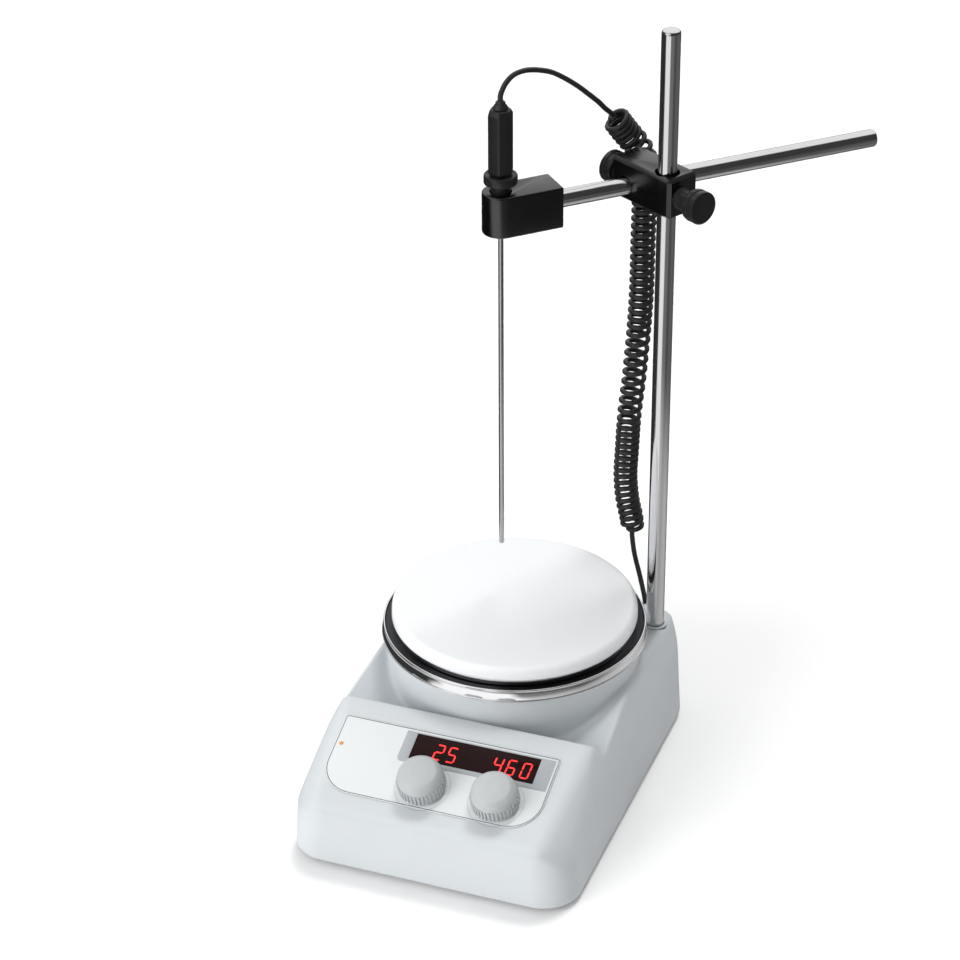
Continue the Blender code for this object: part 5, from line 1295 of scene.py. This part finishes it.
@dataclass
class ControlPanel:
    """Everything on the sloping panel: overlay, display, indicator and the two knobs."""

    shop: FinishShop
    ridge: Flat = RIDGE
    slope: float = PANEL_SLOPE
    overlay: Box = (-0.0645, 0.057, -0.0585, -0.011)
    overlay_top: float = 0.0008
    overlay_corners: Flat = (0.018, 0.0018)
    window_frame: Box = (-0.0285, 0.055, -0.0325, -0.013)
    window: Box = (-0.0225, 0.0471, -0.0297, -0.0137)
    knob_down: float = 0.045
    knob_radius: float = 0.013
    knob_height: float = 0.0145
    ribs: int = 38
    knobs: tuple[tuple[str, float], ...] = (("temp", -0.009), ("speed", 0.032))
    digits: tuple[tuple[str, float], ...] = (("2", -0.0075), ("5", -0.0002), ("4", 0.0256), ("6", 0.0330),
                                             ("0", 0.0412))

    @property
    def panel_matrix(self) -> Matrix:
        """The panel's own frame: X across, Y up the slope, Z out of it."""
        return Matrix.Translation((0, *self.ridge)) @ Matrix.Rotation(self.slope, 4, "X")

    def on_panel(self, piece: Piece, finish: Finish, body: str, nodes: Sequence[str] = (),
                 smooth: float = 35) -> Piece:
        """Lay a piece that was modelled flat on the panel, and hand it over."""
        return hand_over(place(piece, self.panel_matrix), self.shop.make(finish), body, nodes, smooth)

    def build(self) -> None:
        """Build the overlay, the display, the prints and the knobs."""
        self.build_overlay()
        self.build_display()
        self.build_prints()
        for name, across in self.knobs:
            self.build_knob(name, across)

    def outline(self, inset: float) -> list[Flat]:
        """Give the overlay's outline, drawn in by an inset."""
        left, right, low, high = self.overlay
        large, small = self.overlay_corners[0] - inset, self.overlay_corners[1] - min(inset, 0.001)
        corners = [large, small, small, large]
        return rounded_box(left + inset, right - inset, low + inset, high - inset, corners, 14)

    def build_overlay(self) -> None:
        """Build the white overlay with its fine dark border, and the amber indicator."""
        overlay = soften(slab("overlay_sheet", self.outline(0), 0.0001, self.overlay_top), 0.0002, 2)
        self.on_panel(overlay, OVERLAY_FILM, "base", ["panel_overlay"])
        border = ribbon("overlay_border", self.outline(0.0004), self.outline(0.0008),
                        self.overlay_top - 0.0001, self.overlay_top + 0.00003)
        self.on_panel(border, PRINT_INK, "base")
        lens = turned("indicator_lens", rounded_profile([(0, -0.005, 0), (0.0012, -0.005, 0),
                                                         (0.0012, 0.0011, 0.0005), (0, 0.0011, 0)]), 40)
        place(lens, Matrix.Translation((-0.0609, -0.0294, 0)))
        self.on_panel(lens, AMBER_LENS, "base", ["power_indicator"])

    def build_display(self) -> None:
        """Build the grey frame, the dark window and the lit digits."""
        left, right, low, high = self.window_frame
        outline = rounded_box(left, right, low, high, [0.0004, 0.0004, 0.0004, 0.0026], 8)
        surround = slab("display_surround", outline, 0.0002, self.overlay_top + 0.00025)
        opening = slab("window_opening", rounded_box(*self.window, [0.0003] * 4, 3), 0.0005, 0.003)
        cut(surround, opening)
        soften(surround, 0.0001, 2, 45)
        self.on_panel(surround, FRAME_FILM, "base", ["display_window"])
        glass = slab("display_glass", rounded_box(*self.window, [0.0003] * 4, 3), 0.0004,
                     self.overlay_top + 0.00022)
        soften(glass, 0.00012, 2)
        self.on_panel(glass, WINDOW_GLASS, "base")
        for number, (digit, across) in enumerate(self.digits):
            self.build_digit(f"digit_{number + 1}", digit, across)

    def build_digit(self, name: str, digit: str, across: float) -> None:
        """Build one lit digit from its bars."""
        half, tall, thick, lean = 0.0021, 0.0046, 0.00046, 0.05
        top = self.overlay_top + 0.00030
        bars = []
        for stroke in DIGIT_STROKES[digit]:
            start, end = (Vector(((column * 2 - 1) * half, (row - 1) * tall)) for column, row in stroke.value)
            way = (end - start).normalized()
            side = Vector((-way.y, way.x)) * thick
            start, end = start + way * thick * 0.35, end - way * thick * 0.35
            corners = [start, start + way * thick + side * 0.9, end - way * thick + side * 0.9, end,
                       end - way * thick - side * 0.9, start + way * thick - side * 0.9]
            outline = [(corner.x + corner.y * lean + across, corner.y - 0.0227) for corner in corners]
            bars.append(slab(name, outline, top - 0.0002, top))
        self.on_panel(join_all(bars), DIGIT_LIGHT, "base")

    def build_prints(self) -> None:
        """Build the thin printed circle round each knob."""
        for name, across in self.knobs:
            centre = (across, -self.knob_down)
            ring = ribbon(f"{name}_printed_circle", circle(0.0151, 96, centre), circle(0.0149, 96, centre),
                          self.overlay_top - 0.0001, self.overlay_top + 0.00003)
            self.on_panel(ring, FRAME_FILM, "base")

    def build_knob(self, name: str, across: float) -> None:
        """Build one knob: smooth dome, ribbed skirt and an open foot."""
        foot, radius, height = self.overlay_top + 0.0008, self.knob_radius, self.knob_height
        profile = rounded_profile([(0, height - 0.0045, 0), (0.0095, height - 0.0045, 0), (0.0095, 0, 0),
                                   (0.0122, 0, 0.0002), (0.0122, 0.0078, 0.0003), (0.0119, 0.0082, 0.0002),
                                   (0.0119, 0.0110, 0.0025),
                                   (0.0095, height - 0.0010, 0.0030), (0.0040, height, 0.004),
                                   (0, height, 0)], 6)
        knob = turned(f"{name}_knob_cap", profile, 160)
        rib = block("rib", (0.0118, -0.00048, 0.0004), (radius, 0.00048, 0.0075))
        soften(rib, 0.0003, 2)
        ribs = []
        for index in range(self.ribs):
            each = rib.copy()
            each.data = rib.data.copy()
            bpy.context.collection.objects.link(each)
            ribs.append(place(each, Matrix.Rotation(math.tau * index / self.ribs, 4, "Z")))
        bpy.data.objects.remove(rib, do_unlink=True)
        cut(knob, join_all(ribs), "UNION")
        place(knob, Matrix.Translation((across, -self.knob_down, foot)))
        self.on_panel(knob, KNOB_PLASTIC, f"{name}_control", [f"{name}_knob"], 30)


@dataclass
class RearFittings:
    """The mains inlet, the rocker switch, the sensor socket with its plug, the cover and the feet."""

    shop: FinishShop

    def build(self) -> None:
        """Refine the frame's own boxes and turn the round pieces anew."""
        for node, name, edge, body, finish, slot in (
                ("mains_inlet", "inlet_body", 0.0004, "base", BLACK_PLASTIC, "black_plastic"),
                ("rocker_frame", "switch_surround", 0.0004, "base", BLACK_PLASTIC, "black_plastic"),
                ("power_rocker", "switch_rocker", 0.0005, "rocker", BLACK_PLASTIC, "black_plastic"),
                ("bottom_cover", "cover_plate", 0.0004, "base", COVER_STEEL, "dark_steel")):
            hand_over(refined_copy(node, name, edge), self.shop.make(finish), body, [node], 30)
        for row, y in (("front", -0.096), ("rear", 0.056)):
            for side, x in (("left", -0.060), ("right", 0.060)):
                self.foot(f"foot_pad_{row}_{side}", f"foot_{row}_{side}", (x, y))
        self.socket()
        self.plug()

    def foot(self, name: str, node: str, where: Flat) -> None:
        """Turn one rubber foot."""
        profile = rounded_profile([(0, 0.0, 0), (0.0088, 0.0, 0.0006), (0.0090, 0.0027, 0.0003),
                                   (0, 0.0027, 0)])
        piece = place(turned(name, profile, 64), Matrix.Translation((*where, 0)))
        hand_over(piece, self.shop.make(FOOT_RUBBER), "base", [node])

    def socket(self) -> None:
        """Turn the sensor socket in the rear wall."""
        corners = [(0, 0.065, 0), (0.0075, 0.065, 0), (0.0075, 0.0743, 0), (0.0095, 0.0743, 0.0002),
                   (0.0095, 0.0763, 0.0005),
                   (0.0068, 0.0763, 0.0003), (0.0065, 0.0758, 0.0002), (0.0055, 0.0758, 0.0002),
                   (0.0055, 0.0682, 0), (0, 0.0682, 0)]
        piece = turned("socket_shell", rounded_profile(corners, 3), 64)
        place(piece, Matrix.Translation(SOCKET_PLACE) @ Matrix.Rotation(-math.pi / 2, 4, "X"))
        hand_over(piece, self.shop.make(BRIGHT_STEEL), "base", ["sensor_socket"])

    def plug(self) -> None:
        """Dress the angled plug, which the lead ends in."""
        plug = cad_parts["sensor_plug"]
        for index in range(len(plug.material_slots)):
            plug.material_slots[index].material = self.shop.make(BLACK_PLASTIC)
        LOG.info("sensor_plug dressed")


@dataclass
class InnerWorks:
    """The pieces inside the housing, which keep the frame's own shapes."""

    shop: FinishShop
    finishes: dict[str, Finish] = field(default_factory=lambda: {
        "heater_disc": COPPER, "insulation_disc": MINERAL_WOOL, "motor_body": DARK_STEEL,
        "magnet_yoke": DARK_STEEL,
        "temp_encoder": BLACK_PLASTIC, "speed_encoder": BLACK_PLASTIC, "display_module": BLACK_PLASTIC,
        "control_board": BOARD_GREEN, "power_board": BOARD_GREEN})
    bright: tuple[str, ...] = (
        "heat_shield", "plate_post_1", "plate_post_2", "plate_post_3", "motor_bracket", "motor_shaft",
        "north_magnet",
        "south_magnet", "temp_nut", "speed_nut", "temp_stem", "speed_stem", "rod_bush", "cover_screw_1",
        "cover_screw_2", "cover_screw_3", "cover_screw_4")

    def dress(self) -> None:
        """Give every inner node its finish."""
        for name in (*self.finishes, *self.bright):
            node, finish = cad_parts[name], self.finishes.get(name, BRIGHT_STEEL)
            if not node.material_slots:
                node.data.materials.append(self.shop.make(finish))
            for entry in node.material_slots:
                entry.material = self.shop.make(finish)
        LOG.info("%d inner nodes dressed", len(self.finishes) + len(self.bright))


def main() -> None:
    """Build the studio and every sub-assembly in order."""
    clear_selection()
    shop = FinishShop()
    Studio().build()
    ProbeLead(shop).build()
    Housing(shop).build()
    HotPlate(shop).build()
    ControlPanel(shop).build()
    SupportRod(shop).build()
    BossHead(shop).build()
    arm = SensorArm(shop)
    arm.build()
    Probe(shop, arm.probe_matrix).build()
    RearFittings(shop).build()
    InnerWorks(shop).dress()


if __name__ == "__main__":
    main()
